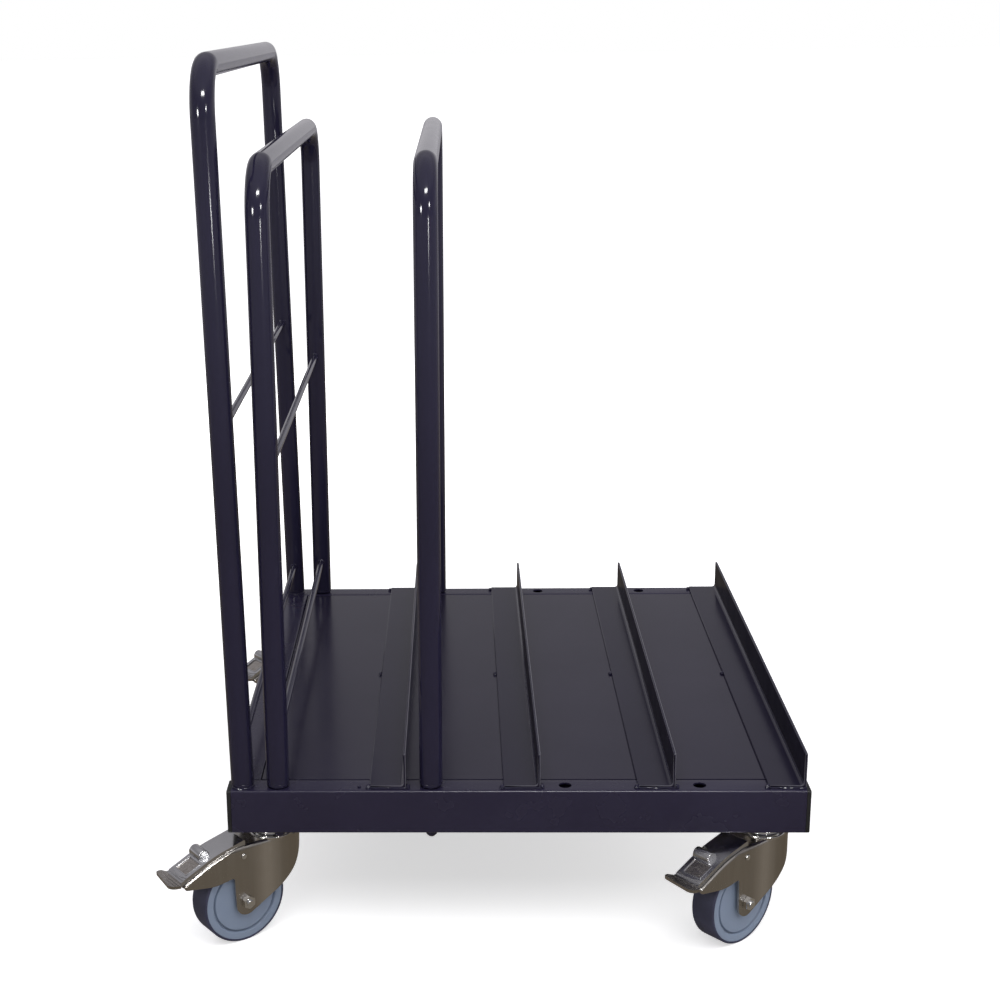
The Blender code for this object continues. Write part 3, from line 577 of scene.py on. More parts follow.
class Finish:
    """A procedural material: one Principled shader and the textures that drive it."""

    def __init__(self, name, values):
        """Starts from values for the shader's inputs."""
        self.material = bpy.data.materials.new(name)
        self.material.use_nodes = True
        self.tree = self.material.node_tree
        self.shader = self.tree.nodes["Principled BSDF"]
        for key, value in values.items():
            self.shader.inputs[key].default_value = value
        self.coordinates = self.add("ShaderNodeTexCoord").outputs["Object"]
        self.normal = None

    def add(self, kind, **settings):
        node = self.tree.nodes.new(kind)
        for key, value in settings.items():
            setattr(node, key, value)
        return node

    def link(self, output, socket):
        self.tree.links.new(output, socket)

    def grain(self, scale, detail, stretch=(1, 1, 1)):
        """Noise with that many features a metre, stretched along an axis by a small factor."""
        place = self.add("ShaderNodeMapping")
        place.inputs["Scale"].default_value = stretch
        self.link(self.coordinates, place.inputs["Vector"])
        texture = self.add("ShaderNodeTexNoise")
        texture.inputs["Scale"].default_value = scale
        texture.inputs["Detail"].default_value = detail
        self.link(place.outputs["Vector"], texture.inputs["Vector"])
        return texture.outputs["Fac"]

    def clouds(self, part, low=0, high=1, **texture):
        """Noise of which a part is spread between two values."""
        return self.spread(self.grain(**texture), *part, low, high)

    def along(self, axis):
        """Place along one axis of the piece's own frame."""
        node = self.add("ShaderNodeSeparateXYZ")
        self.link(self.coordinates, node.inputs["Vector"])
        return node.outputs[axis]

    def maths(self, operation, first, second=None):
        """A sum on one or two values, each a number or an output."""
        node = self.add("ShaderNodeMath", operation=operation)
        for socket, value in zip(node.inputs, (first, second)):
            if isinstance(value, (int, float)):
                socket.default_value = value
            elif value is not None:
                self.link(value, socket)
        return node.outputs["Value"]

    def band(self, axis, centre, half, fade):
        """One inside a band across an axis, nought outside it."""
        offset = self.maths("ABSOLUTE", self.maths("SUBTRACT", self.along(axis), centre))
        return self.spread(offset, half, half + fade, 1, 0)

    def spread(self, value, low, high, to_low, to_high):
        """A value mapped from one range to another and held there."""
        node = self.add("ShaderNodeMapRange")
        for key, number in (("From Min", low), ("From Max", high), ("To Min", to_low), ("To Max", to_high)):
            node.inputs[key].default_value = number
        self.link(value, node.inputs["Value"])
        return node.outputs["Result"]

    def colours(self, factor, first, second):
        """A blend of two colours, either of them a colour or another blend."""
        node = self.add("ShaderNodeMix", data_type="RGBA")
        self.link(factor, node.inputs["Factor"])
        for key, colour in (("A", first), ("B", second)):
            socket = [item for item in node.inputs if item.name == key and item.type == "RGBA"][0]
            if isinstance(colour, tuple):
                socket.default_value = (*colour, 1)
            else:
                self.link(colour, socket)
        return [item for item in node.outputs if item.type == "RGBA"][0]

    def paint(self, colour):
        self.link(colour, self.shader.inputs["Base Color"])

    def gloss(self, roughness):
        self.link(roughness, self.shader.inputs["Roughness"])

    def relief(self, height, depth):
        """Bump of that depth in metres, laid over what is there already."""
        node = self.add("ShaderNodeBump")
        node.inputs["Distance"].default_value = depth
        self.link(height, node.inputs["Height"])
        if self.normal is not None:
            self.link(self.normal, node.inputs["Normal"])
        self.normal = node.outputs["Normal"]
        self.link(self.normal, self.shader.inputs["Normal"])


def powder_coat(name, dark, light, roughness, peel, sheen, ior):
    """Satin powder coat: orange peel, faint clouds of colour, patchy gloss."""
    finish = Finish(name, {"Roughness": roughness, "IOR": ior, "Specular IOR Level": sheen})
    finish.paint(finish.colours(finish.clouds(SOFT_NOISE, scale=7, detail=3), dark, light))
    low, high = COAT_GLOSS
    finish.gloss(finish.clouds(SOFT_NOISE, roughness * low, roughness * high, scale=30, detail=3))
    finish.relief(finish.grain(scale=420, detail=2), peel)
    finish.relief(finish.grain(scale=1500, detail=1), peel * COAT_GRAIN_SHARE)
    return finish.material


def plated(finish, plate, gloss, mark):
    """Zinc plate over a pressed part: patchy gloss, fine draw marks and a ripple twice as deep."""
    finish.paint(plate)
    finish.gloss(finish.clouds(FIRM_NOISE, *gloss, scale=110, detail=4))
    finish.relief(finish.grain(scale=60, detail=1), mark * 2)
    finish.relief(finish.grain(scale=900, detail=2, stretch=(1, 1, 0.06)), mark)
    return finish.material


def fork_finish():
    """Matt bright zinc, lighter in a band beside the swivel as a painted reflection, and darker round the
    nose as painted shade.
    """
    finish = Finish("fork_plate", {"Roughness": ZINC_ROUGHNESS, "Metallic": 1})
    clouds = finish.clouds(FIRM_NOISE, scale=55, detail=4)
    streaks = finish.clouds(FIRM_NOISE, 0, STREAK_STRENGTH, scale=150, detail=3, stretch=(1, 1, 0.08))
    plate = finish.colours(clouds, *FORK_ZINC)
    plate = finish.colours(streaks, plate, FORK_STREAK)
    # A lighter band on the cheeks beside the swivel: painted reflection.
    plate = finish.colours(finish.band("X", *REFLECTION_BAND), plate, REFLECTION_ZINC)
    # Darker towards the nose: painted shade.
    nose = finish.spread(finish.along("X"), *NOSE_SHADE_FADE, 1, 0)
    plate = finish.colours(nose, plate, NOSE_SHADE_ZINC)
    race = finish.spread(finish.along("Z"), *RACE_FADE, 0, 1)
    plate = finish.colours(race, plate, RACE_ZINC)
    return plated(finish, plate, FORK_GLOSS, ZINC_MARK)


def pedal_finish():
    """Bright zinc with a rough pressed grip on the lip and in the window."""
    finish = Finish("pedal_plate", {"Roughness": ZINC_ROUGHNESS, "Metallic": 1})
    lip = finish.spread(finish.along("X"), LIP_NECK_X, LIP_NECK_X + LIP_FADE, 0, 1)
    across_window = finish.band("Y", 0, WINDOW_WIDTH / 2 - GRIP_INSET, GRIP_FADE)
    along_window = finish.band("X", WINDOW_X, WINDOW_LENGTH / 2 - GRIP_INSET, GRIP_FADE)
    window = finish.maths("MULTIPLY", along_window, across_window)
    grip = finish.maths("MAXIMUM", lip, window)
    plate = finish.colours(finish.clouds(FIRM_NOISE, scale=55, detail=4), *PEDAL_ZINC)
    worn = finish.colours(finish.clouds(HARD_NOISE, scale=600, detail=4), *GRIP_ZINC)
    plated(finish, finish.colours(grip, plate, worn), PEDAL_GLOSS, ZINC_MARK)
    finish.relief(finish.maths("MULTIPLY", finish.grain(scale=1100, detail=3), grip), GRIP_DEPTH)
    wave = finish.maths("SINE", finish.maths("MULTIPLY", finish.along("X"), 2 * pi / LIP_RIB_PITCH))
    finish.relief(finish.maths("MULTIPLY", wave, lip), LIP_RIB_DEPTH)
    return finish.material


def bolt_finish():
    """Bright plated steel of bolts, rivets and swivel cups."""
    finish = Finish("bolt_plate", {"Roughness": BOLT_ROUGHNESS, "Metallic": 1})
    plate = finish.colours(finish.clouds(FIRM_NOISE, scale=120, detail=4), *BOLT_ZINC)
    return plated(finish, plate, BOLT_GLOSS, BOLT_MARK)


def moulded(name, dark, light, low, high, patch, grain, depth):
    """A moulded plastic or rubber: clouded colour, patchy gloss and a fine grain."""
    finish = Finish(name, {"Roughness": low, "IOR": MOULDING_IOR})
    finish.paint(finish.colours(finish.clouds(SOFT_NOISE, scale=patch, detail=4), dark, light))
    finish.gloss(finish.clouds(SOFT_NOISE, low, high, scale=2 * patch, detail=3))
    finish.relief(finish.grain(scale=grain, detail=3), depth)
    return finish.material


def build_materials():
    """Every finish, by the name of its material slot."""
    materials = {}
    for name, *look in COATS:
        materials[name + "_paint"] = powder_coat(name + "_coat", *look)
    materials["fork_zinc"] = fork_finish()
    materials["pedal_zinc"] = pedal_finish()
    materials["bolt_steel"] = bolt_finish()
    for slot, name, *look in MOULDINGS:
        materials[slot] = moulded(name, *look)
    return materials


def dress(name, mesh, slot, body, nodes=(), matrix=None, edges=0.0, rubbed=None):
    """One finished piece on its body, for its CAD nodes. Its rounded edges may take a lighter coat that
    paints a highlight along them.
    """
    mesh.shade_smooth()
    mesh.set_sharp_from_angle(angle=SMOOTH_ANGLE)
    mesh.materials.clear()
    mesh.materials.append(MATERIALS[slot])
    piece = added(name, mesh)
    if matrix is not None:
        piece.matrix_world = matrix
    if edges:
        bevel = piece.modifiers.new("round_edges", "BEVEL")
        bevel.width = edges
        bevel.segments = EDGE_STEPS
        bevel.limit_method = "ANGLE"
        bevel.angle_limit = EDGE_ANGLE
        bevel.harden_normals = True
        # The bevel faces take the lighter coat, a painted highlight along the edges.
        if rubbed:
            mesh.materials.append(MATERIALS[rubbed])
            bevel.material = 1
    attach(piece, body)
    if nodes:
        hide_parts(*nodes)


def stand_for(node, mesh, matrix, edges=0.0, rubbed=None):
    """The finer form of one CAD node."""
    dress(node + "_form", mesh, SLOTS[node], NODES[node]["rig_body"], (node,), matrix, edges, rubbed)


def middle(node):
    """Centre and size of a CAD node."""
    low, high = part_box(node)
    return (low + high) / 2, high - low


def rail_mesh(length, width, height):
    """Rectangular tube along X."""
    outer = rectangle(width / 2, height / 2, RAIL_CORNER)
    inner = rectangle(width / 2 - RAIL_WALL, height / 2 - RAIL_WALL, RAIL_WALL / 4)
    mesh = prism([outer, inner], length)
    mesh.transform(ALONG_X)
    return mesh


def build_rails():
    """Four rails. The long ones have holes for the rack hoops, some of them spare."""
    holes = [middle("first_hoop_front_foot")[0].x, middle("second_hoop_front_foot")[0].x]
    for opening in frame["record"]["physics"]["openings"]:
        if opening["name"].startswith("front_spare_hole"):
            low, high = opening["box_m"]
            holes.append((low[0] + high[0]) / 2)
    for node in ("front_rail", "rear_rail"):
        centre, size = middle(node)
        mesh = rail_mesh(size.x, size.y, size.z)
        for x in holes:
            drill = cylinder(HOLE_DIAMETER / 2, 2 * size.z, ROUND_STEPS, "Z", (x - centre.x, 0, 0))
            mesh = cut(mesh, drill)
        stand_for(node, mesh, move(centre), FINE_ROUND)
    for node in ("left_rail", "right_rail"):
        centre, size = middle(node)
        turn = move(centre) @ spin(pi / 2, "Z")
        stand_for(node, rail_mesh(size.y, size.x, size.z), turn, FINE_ROUND)


def build_caps():
    """Moulded caps: a flange with a rounded rim and a plug inside the rail."""
    for corner in CORNERS:
        node = corner + "_end_cap"
        centre, size = middle(node)
        flange = prism([rectangle(size.y / 2, size.z / 2, RAIL_CORNER)], CAP_FLANGE)
        flange = rim_rounded(flange, CAP_FLANGE / 2, CAP_EDGE, EDGE_STEPS)
        flange.transform(move(((size.x - CAP_FLANGE) / 2, 0, 0)) @ ALONG_X)
        inset = RAIL_WALL + SEAT_GAP
        half = Vector((size.x / 2, size.y / 2 - inset, size.z / 2 - inset))
        plug = block((-half.x, -half.y, -half.z), (half.x - CAP_FLANGE / 2, half.y, half.z))
        turn = spin(pi if corner.endswith("left") else 0, "Z")
        stand_for(node, joined(flange, plug), move(centre) @ turn)


def build_deck():
    """Folded tray: an open box with rounded bends and sheet thickness inward."""
    centre, size = middle("deck_panel")
    half = size / 2 - Vector((DECK_SEAM, DECK_SEAM, 0))

    def open_below(work):
        bottom = [face for face in work.faces if face.normal.z < -FACING]
        bmesh.ops.delete(work, geom=bottom, context="FACES_ONLY")

    source = bpy.data.objects.new("tray", edited(block(-half, half), open_below))
    sheet = source.modifiers.new("sheet", "SOLIDIFY")
    sheet.thickness = DECK_SHEET
    sheet.offset = -1
    sheet.use_even_offset = True
    stand_for("deck_panel", meshed(source), move(centre), DECK_EDGE)


def build_dividers():
    """Rolled angles: upright leg on the right with painted shade on its left face, flat leg to the left,
    and painted highlight on the rounded edges.
    """
    for index in range(1, DIVIDERS + 1):
        node = f"divider_angle_{index}"
        centre, size = middle(node)
        ring = rounded((
            (0, 0, 0),
            (size.x, 0, 0),
            (size.x, ANGLE_THICKNESS, ANGLE_TOE),
            (ANGLE_THICKNESS, ANGLE_THICKNESS, ANGLE_ROOT),
            (ANGLE_THICKNESS, size.z, ANGLE_TOE),
            (0, size.z, 0),
        ))
        mesh = prism([ring], size.y)
        mesh.transform(ALONG_Y)
        corner = centre + Vector((size.x / 2, 0, -size.z / 2))
        # The rounded edges take a lighter coat as painted highlight.
        stand_for(node, mesh, move(corner), ANGLE_EDGE, "rubbed_paint")
        # The upper part of the upright's left face takes the darker coat: painted shade.
        mesh.materials.append(MATERIALS["dull_paint"])
        dull = len(mesh.materials) - 1
        for face in mesh.polygons:
            if face.normal.x < -SQUARELY and face.center.z > size.z / 4:
                face.material_index = dull


def foot_mesh(pinned):
    """Foot plug: rounded collar on the rail, and the pin through the rail."""
    profile = [
        (0, COLLAR_HEIGHT, 0),
        (HOOP_RADIUS, COLLAR_HEIGHT, FINE_ROUND),
        (HOOP_RADIUS, 0, COLLAR_EDGE),
    ]
    if pinned:
        pin = PIN_DIAMETER / 2
        profile += [(pin, 0, 0), (pin, PIN_TAPER - PIN_LENGTH, TURNED_ROUND)]
        profile += [(pin - PIN_TAPER, -PIN_LENGTH, PIN_END_ROUND), (0, -PIN_LENGTH, 0)]
    else:
        profile.append((0, 0, 0))
    return turned(soft(profile), ROUND_STEPS)


def hoop_path(half_span, foot, top):
    """Centre line of a hoop in its own plane, from the front foot to the rear foot."""
    path = [(0, -half_span, foot)]
    for step in range(BEND_STEPS + 1):
        angle = pi / 2 * step / BEND_STEPS
        y = -half_span + HOOP_BEND * (1 - cos(angle))
        path.append((0, y, top - HOOP_BEND * (1 - sin(angle))))
    return path + [(0, -y, z) for _, y, z in reversed(path)]


def build_hoop(name):
    """A bent tube with two cross rods, in a frame that leans as the hoop does."""
    lean = PUSH_HOOP_LEAN if name == "push_hoop" else 0
    foot = middle(name + "_front_foot")[0]
    rear = middle(name + "_rear_foot")[0]
    deck_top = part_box("front_rail")[1].z
    half_span = (rear.y - foot.y) / 2
    seat = move((foot.x, (rear.y + foot.y) / 2, deck_top)) @ spin(-lean, "Y")
    top = (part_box(name + "_tube")[1].z - deck_top) / cos(lean) - HOOP_RADIUS
    tube = swept(hoop_path(half_span, COLLAR_HEIGHT + 2 * SEAT_GAP, top), HOOP_RADIUS, TUBE_SIDES)
    stand_for(name + "_tube", tube, seat)
    rows = (("front", -half_span, 1), ("rear", half_span, -1))
    for row, y, _ in rows:
        place = move((0, y, SEAT_GAP))
        stand_for(f"{name}_{row}_foot", foot_mesh(name != "push_hoop"), seat @ place)
    for level in ("upper", "lower"):
        node = f"{name}_{level}_rod"
        height = (middle(node)[0].z - deck_top) / cos(lean)
        reach = half_span - HOOP_RADIUS + ROD_DIAMETER / 4
        rod = cylinder(ROD_DIAMETER / 2, 2 * reach, SMALL_STEPS, "Y", (0, 0, height))
        stand_for(node, rod, seat)
        for row, y, side in rows:
            ring = rod_weld(y, side, height)
            dress(f"{node}_{row}_weld", ring, SLOTS[node], NODES[node]["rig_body"], (), seat)
    if name == "push_hoop":
        for row, y, _ in rows:
            place = seat @ move((0, y, 0))
            dress(f"{name}_{row}_weld", foot_weld(), SLOTS[name + "_tube"], "frame", (), place)


def lumpy(mesh, depth, scale, seed):
    """Uneven swell of a weld bead."""
    mesh.update()
    shift = Vector((seed, 2 * seed, 3 * seed))
    for vert in mesh.vertices:
        swell = noise.noise(vert.co * scale + shift)
        vert.co += vert.normal * swell * depth
    return mesh


def bead(path, size, seed, closed=True):
    """A weld bead along a path."""
    radius, depth, scale = size
    return lumpy(swept(path, radius, BEAD_SIDES, closed), depth, scale, seed)


def rod_weld(y, side, height):
    """Fillet bead where a cross rod meets a leg, along the saddle between the two."""
    rod = ROD_DIAMETER / 2
    path = []
    for step in range(SMALL_STEPS):
        angle = 2 * pi * step / SMALL_STEPS
        x = rod * cos(angle)
        path.append((x, y + side * sqrt(HOOP_RADIUS ** 2 - x ** 2), height + rod * sin(angle)))
    return bead(path, ROD_BEAD, y + height)


def foot_weld():
    """Bead round a welded foot, with the ripple of a hand-run weld."""
    ring = circle(HOOP_RADIUS - FOOT_BEAD_INSET, 2 * ROUND_STEPS)
    return bead([(x, y, FOOT_BEAD_RISE) for x, y in ring], FOOT_BEAD, FOOT_BEAD_SEED)


def caster_frame(corner):
    """Matrix of a caster's own frame at rest."""
    axle = Vector(JOINTS[corner + "_roll"]["axis"])
    up = Vector((0, 0, 1))
    trail = axle.cross(up)
    turn = Matrix((trail, axle, up)).transposed().to_4x4()
    return move(JOINTS[corner + "_swivel"]["pos_m"]) @ turn


def hexagon(flats, height, base, chamfer):
    """A hexagon about Z with its outer corners turned down, standing on a height."""
    corner = flats / 2 / cos(pi / 6)
    mesh = prism([circle(corner, 6)], height)
    mesh.transform(move((0, 0, base + height / 2)))
    cone = turned((
        (0, base + height + chamfer),
        (flats / 2 - chamfer, base + height + chamfer),
        (corner + chamfer, base + height - chamfer),
        (corner + chamfer, base - chamfer),
        (0, base - chamfer),
    ), ROUND_STEPS)
    return common(mesh, cone)


def plate_mesh(node):
    """Corner plate between two rails, cut off on its inner corner."""
    centre, size = middle(node)
    side_x = -1 if "left" in node else 1
    side_y = -1 if "front" in node else 1
    corners = ((0, 0), (size.x, 0), (size.x, PLATE_END), (PLATE_END, size.y), (0, size.y))
    ring = [(side_x * (size.x / 2 - x), side_y * (size.y / 2 - y)) for x, y in corners]
    return prism([ring], size.z), centre


def head_mesh():
    """Fixed half of the swivel: stem and nut above, flange and race cup below."""
    stem = STEM_DIAMETER / 2
    nut_seat = PLATE_THICKNESS + SEAT_GAP
    under = FORK_TOP - FORK_SHEET - RUN_GAP
    body = turned(soft((
        (0, nut_seat + NUT_HEIGHT + STEM_END, 0),
        (stem, nut_seat + NUT_HEIGHT + STEM_END, TURNED_ROUND),
        (stem, -SEAT_GAP, 0),
        (HEAD_DIAMETER / 2, -SEAT_GAP, CUP_ROUND),
        (HEAD_DIAMETER / 2, -HEAD_RIM, HEAD_RIM_ROUND),
        (HEAD_FOOT_DIAMETER / 2, -HEAD_DEPTH, CUP_ROUND),
        (KING_DIAMETER / 2, -HEAD_DEPTH, 0),
        (KING_DIAMETER / 2, under, 0),
        (RETAINER_DIAMETER / 2, under, RETAINER_TOP_ROUND),
        (RETAINER_DIAMETER / 2, under - RETAINER_HEIGHT, TURNED_ROUND),
        (0, under - RETAINER_HEIGHT, 0),
    )), ROUND_STEPS)
    return joined(body, hexagon(NUT_FLATS, NUT_HEIGHT, nut_seat, TURNED_ROUND))


def fork_plan(margin):
    """Plan outline of the fork, drawn in by a margin: rounded nose, open trailing end."""
    half = FORK_WIDTH / 2 - margin
    nose = FORK_NOSE + margin
    return rounded((
        (nose, -half, FORK_NOSE_ROUND - margin),
        (CUT_REACH, -half, 0),
        (CUT_REACH, half, 0),
        (nose, half, FORK_NOSE_ROUND - margin),
    ))


def fork_mesh():
    """Pressed fork: crown rolled over into the nose and two cheeks, with arms for the pedal."""
    half_inner = FORK_INNER_WIDTH / 2
    crown_under = FORK_TOP - FORK_SHEET
    skin = prism([fork_plan(0)], CUT_REACH)
    skin.transform(move((0, 0, FORK_TOP - CUT_REACH / 2)))
    skin = rim_rounded(skin, FORK_TOP, FORK_BEND, FORK_BEND_STEPS)
    hollow = prism([fork_plan(FORK_SHEET)], 2 * CUT_REACH)
    hollow.transform(move((0, 0, crown_under - CUT_REACH)))
    hollow = rim_rounded(hollow, crown_under, FORK_BEND - FORK_SHEET, FORK_BEND_STEPS // 2)
    fork = cut(skin, hollow)
    fork = common(fork, side_prism(FORK_SIDE, 2 * FORK_WIDTH))
    fork = cut(fork, block((CROWN_END, -half_inner, -CUT_REACH), (CUT_REACH, half_inner, CUT_REACH)))
    slot = NOSE_SLOT_WIDTH / 2
    fork = cut(fork, block((-CUT_REACH, -slot, -CUT_REACH), (0, slot, NOSE_SLOT_TOP)))
    fork = joined(fork, turned(soft((
        (0, -HEAD_DEPTH - RUN_GAP, 0),
        (RACE_DIAMETER / 2, -HEAD_DEPTH - RUN_GAP, RACE_ROUND),
        (RACE_DIAMETER / 2, DISH_TOP, RACE_ROOT),
        (DISH_DIAMETER / 2, DISH_TOP, CUP_ROUND),
        (DISH_DIAMETER / 2, crown_under, TURNED_ROUND),
        (0, crown_under, 0),
    )), ROUND_STEPS))

    def outer_top(edge):
        outside = all(abs(abs(vert.co.y) - FORK_WIDTH / 2) < MERGE for vert in edge.verts)
        return outside and max(face.normal.z for face in edge.link_faces) > FACING

    return rounded_over(fork, FORK_ROLL, EDGE_STEPS, outer_top)


def across(mesh):
    """A turned piece laid across the trail."""
    mesh.transform(spin(-pi / 2, "X"))
    return mesh


def axle_mesh():
    """Axle bolt: sleeve between the cheeks, head on the far side, nut and thread end on the near."""
    sleeve = FORK_INNER_WIDTH / 2 - SEAT_GAP
    seat = FORK_WIDTH / 2 + SEAT_GAP
    end = seat + AXLE_HEX_HEIGHT
    radius = AXLE_DIAMETER / 2
    body = turned(soft((
        (0, end + AXLE_THREAD_END, 0),
        (radius, end + AXLE_THREAD_END, BOLT_ROUND),
        (radius, sleeve, 0),
        (SLEEVE_DIAMETER / 2, sleeve, FINE_ROUND),
        (SLEEVE_DIAMETER / 2, -sleeve, FINE_ROUND),
        (radius, -sleeve, 0),
        (radius, -end + AXLE_HEX_HEIGHT / 2, 0),
        (0, -end + AXLE_HEX_HEIGHT / 2, 0),
    )), SMALL_STEPS)
    body = joined(body, hexagon(AXLE_HEX_FLATS, AXLE_HEX_HEIGHT, seat, BOLT_ROUND))
    head = hexagon(AXLE_HEX_FLATS, AXLE_HEX_HEIGHT, seat, BOLT_ROUND)
    head.transform(spin(pi, "X"))
    return across(joined(body, head))


def both_sides(upper):
    """A wheel's half profile mirrored and closed."""
    lower = [(radius, -width) for radius, width in reversed(upper)]
    return upper + lower + upper[:1]


def hub_mesh():
    """Moulded wheel: rim, cover disc inside a groove, bore on the sleeve."""
    rim = WHEEL_DIAMETER / 2 - TREAD_DEPTH - SEAT_GAP
    face = WHEEL_WIDTH / 2 - RIM_SETBACK
    cover = WHEEL_WIDTH / 2 - COVER_SETBACK
    cover_radius = COVER_DIAMETER / 2
    bore = SLEEVE_DIAMETER / 2 + RUN_GAP
    upper = soft((
        (bore, cover, 0),
        (cover_radius - GROOVE / 2, cover, COVER_ROUND),
        (cover_radius - GROOVE / 4, cover - GROOVE, GROOVE_ROUND),
        (cover_radius + GROOVE / 4, cover - GROOVE, GROOVE_ROUND),
        (cover_radius + GROOVE / 2, face, COVER_ROUND),
        (rim, face, 0),
    ))
    return across(turned(both_sides(upper), WHEEL_STEPS))


def tyre_mesh():
    """Tread band with rounded shoulders."""
    radius = WHEEL_DIAMETER / 2
    half = WHEEL_WIDTH / 2
    upper = soft((
        (radius - TREAD_DEPTH, half, 0),
        (radius, half, TREAD_SHOULDER),
        (radius, 0, 0),
    ))
    return across(turned(both_sides(upper[:-1]), WHEEL_STEPS))


def lip_mesh():
    """Flared foot lip of the pedal: a scooped strip trimmed to its plan outline."""
    half = LIP_WIDTH / 2
    neck = PEDAL_WIDTH / 2
    plan = rounded((
        (LIP_SIDE[0][0], -neck, 0),
        (LIP_NECK_X, -neck, 0),
        (LIP_FLARE_X, -half, LIP_FLARE_ROUND),
        (LIP_END_X - LIP_SKEW, -half, LIP_CORNER),
        (LIP_END_X + LIP_SKEW, half, LIP_CORNER),
        (LIP_FLARE_X, half, LIP_FLARE_ROUND),
        (LIP_NECK_X, neck, 0),
        (LIP_SIDE[0][0], neck, 0),
    ))
    return common(side_prism(LIP_SIDE, 2 * LIP_WIDTH), prism([plan], CUT_REACH))


def pedal_top(x):
    """Height of the pedal's top on its straight outer stretch."""
    return PEDAL_SIDE[1][1] + PEDAL_SLOPE * (x - PEDAL_SIDE[1][0])


def on_pedal(mesh, x):
    """A piece laid on the pedal's sloping top at a place along the trail."""
    mesh.transform(spin(atan(-PEDAL_SLOPE), "Y"))
    mesh.transform(move((x, 0, pedal_top(x))))
    return mesh


def pedal_mesh():
    """Brake pedal: a pressed channel with ears on the pin, a brake shoe, a tab, a window and a lip."""
    tab = across(turned(soft((
        (0, TAB_WIDTH / 2, 0),
        (TAB_DIAMETER / 2, TAB_WIDTH / 2, TAB_ROUND),
        (TAB_DIAMETER / 2, -TAB_WIDTH / 2, TAB_ROUND),
        (0, -TAB_WIDTH / 2, 0),
    )), ROUND_STEPS))
    tab.transform(move((TAB_X, TAB_Y, pedal_top(TAB_X))))
    pedal = joined(side_prism(PEDAL_SIDE, PEDAL_WIDTH), tab)
    pedal = cut(pedal, side_prism(PEDAL_HOLLOW, PEDAL_WIDTH - 2 * PEDAL_SHEET))
    pedal = joined(pedal, side_prism(SHOE_SIDE, SHOE_WIDTH))
    pedal = joined(pedal, lip_mesh())
    half = (WINDOW_LENGTH / 2, WINDOW_WIDTH / 2)
    window = block((-half[0], -half[1], -WINDOW_DEPTH), (*half, WINDOW_DEPTH))
    pedal = cut(pedal, on_pedal(window, WINDOW_X))
    rim = [rectangle(half[0] + grow, half[1] + grow, WINDOW_CORNER) for grow in (WINDOW_RIM, 0)]
    pedal = joined(pedal, on_pedal(prism(rim, WINDOW_RIM), WINDOW_X))
    crease = []
    for step in range(-SMALL_STEPS, SMALL_STEPS + 1):
        share = step / SMALL_STEPS
        x = CREASE_X + CREASE_BOW * (1 - share ** 2)
        crease.append((x, share * (PEDAL_WIDTH / 2 - CREASE_RADIUS), pedal_top(x)))
    return joined(pedal, swept(crease, CREASE_RADIUS, CREASE_SIDES))


def pin_mesh():
    """Pedal pin with a domed rivet head outside each cheek."""
    seat = FORK_WIDTH / 2 + SEAT_GAP
    end = seat + RIVET_HEAD_HEIGHT
    half = (
        (0, end, 0),
        (RIVET_HEAD / 2, end, BOLT_ROUND),
        (RIVET_HEAD / 2, seat, 0),
        (0, seat, 0),
    )
    near = turned(soft(half), SMALL_STEPS)
    far = near.copy()
    far.transform(spin(pi, "X"))
    shank = cylinder(RIVET_HEAD / 4, 2 * seat + RIVET_HEAD_HEIGHT, SMALL_STEPS)
    return across(joined(joined(shank, near), far))


def build_casters():
    """The corner plates and the casters under them. Each form is made once and copied."""
    forms = (
        ("swivel_head", head_mesh(), "mount", 0),
        ("fork", fork_mesh(), "own", FORK_EDGE),
        ("axle_bolt", axle_mesh(), "roll", 0),
        ("wheel_hub", hub_mesh(), "roll", 0),
        ("tyre", tyre_mesh(), "roll", 0),
        ("brake_pedal", pedal_mesh(), "own", PRESSED_ROUND),
        ("pedal_pin", pin_mesh(), "brake", 0),
    )
    for corner in CORNERS:
        own = caster_frame(corner)
        places = {"own": own, "mount": move(own.translation)}
        for joint in ("roll", "brake"):
            centre = Vector(JOINTS[f"{corner}_{joint}"]["pos_m"])
            places[joint] = own @ move(own.inverted() @ centre)
        plate, centre = plate_mesh(corner + "_corner_plate")
        stand_for(corner + "_corner_plate", plate, move(centre), PRESSED_ROUND)
        for kind, mesh, place, edges in forms:
            stand_for(f"{corner}_{kind}", mesh.copy(), places[place], edges)


def tack(place, length, width, height, turn, seed):
    """A small weld tack: a flattened lump, uneven like a hand-set one."""
    mesh = primitive(
        "tack", bmesh.ops.create_uvsphere, u_segments=TACK_SIDES, v_segments=TACK_RINGS, radius=1)
    lumpy(mesh, *TACK_LUMPS, seed)
    mesh.transform(Matrix.Diagonal((length / 2, width / 2, height, 1)))
    mesh.transform(move(place) @ spin(turn, "Z"))
    return mesh


def end_weld(start, end, y, base, seed):
    """Thin bead along the end of a flat leg."""
    steps = 2 * SMALL_STEPS
    path = []
    for step in range(steps + 1):
        path.append((start + (end - start) * step / steps, y, base + END_BEAD_RISE))
    return bead(path, END_BEAD, seed, closed=False)


def build_tacks():
    """Tacks along each divider's left edge and before its upright, and beads along its ends."""
    for index in range(1, DIVIDERS + 1):
        low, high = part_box(f"divider_angle_{index}")
        tacks = [
            (low.x, low.y, FRONT_TACK),
            (low.x, (low.y + high.y) / 2, MIDDLE_TACK),
            (low.x, high.y, REAR_TACK),
        ]
        if index < DIVIDERS:
            tacks.append((high.x, low.y, RIGHT_TACK))
        if index == 1:
            tacks.append((low.x, low.y, STRAY_TACK))
        for count, (x, y, (shift_x, shift_y, *form)) in enumerate(tacks):
            lump = tack((x + shift_x, y + shift_y, low.z), *form, index + TACK_SEED_STEP * count)
            dress(f"divider_{index}_tack_{count + 1}", lump, "hoop_paint", "frame")
        for row, y in (("front", low.y), ("rear", high.y)):
            seam = end_weld(low.x + ANGLE_TOE, high.x, y, low.z, index)
            dress(f"divider_{index}_{row}_weld", seam, "hoop_paint", "frame")


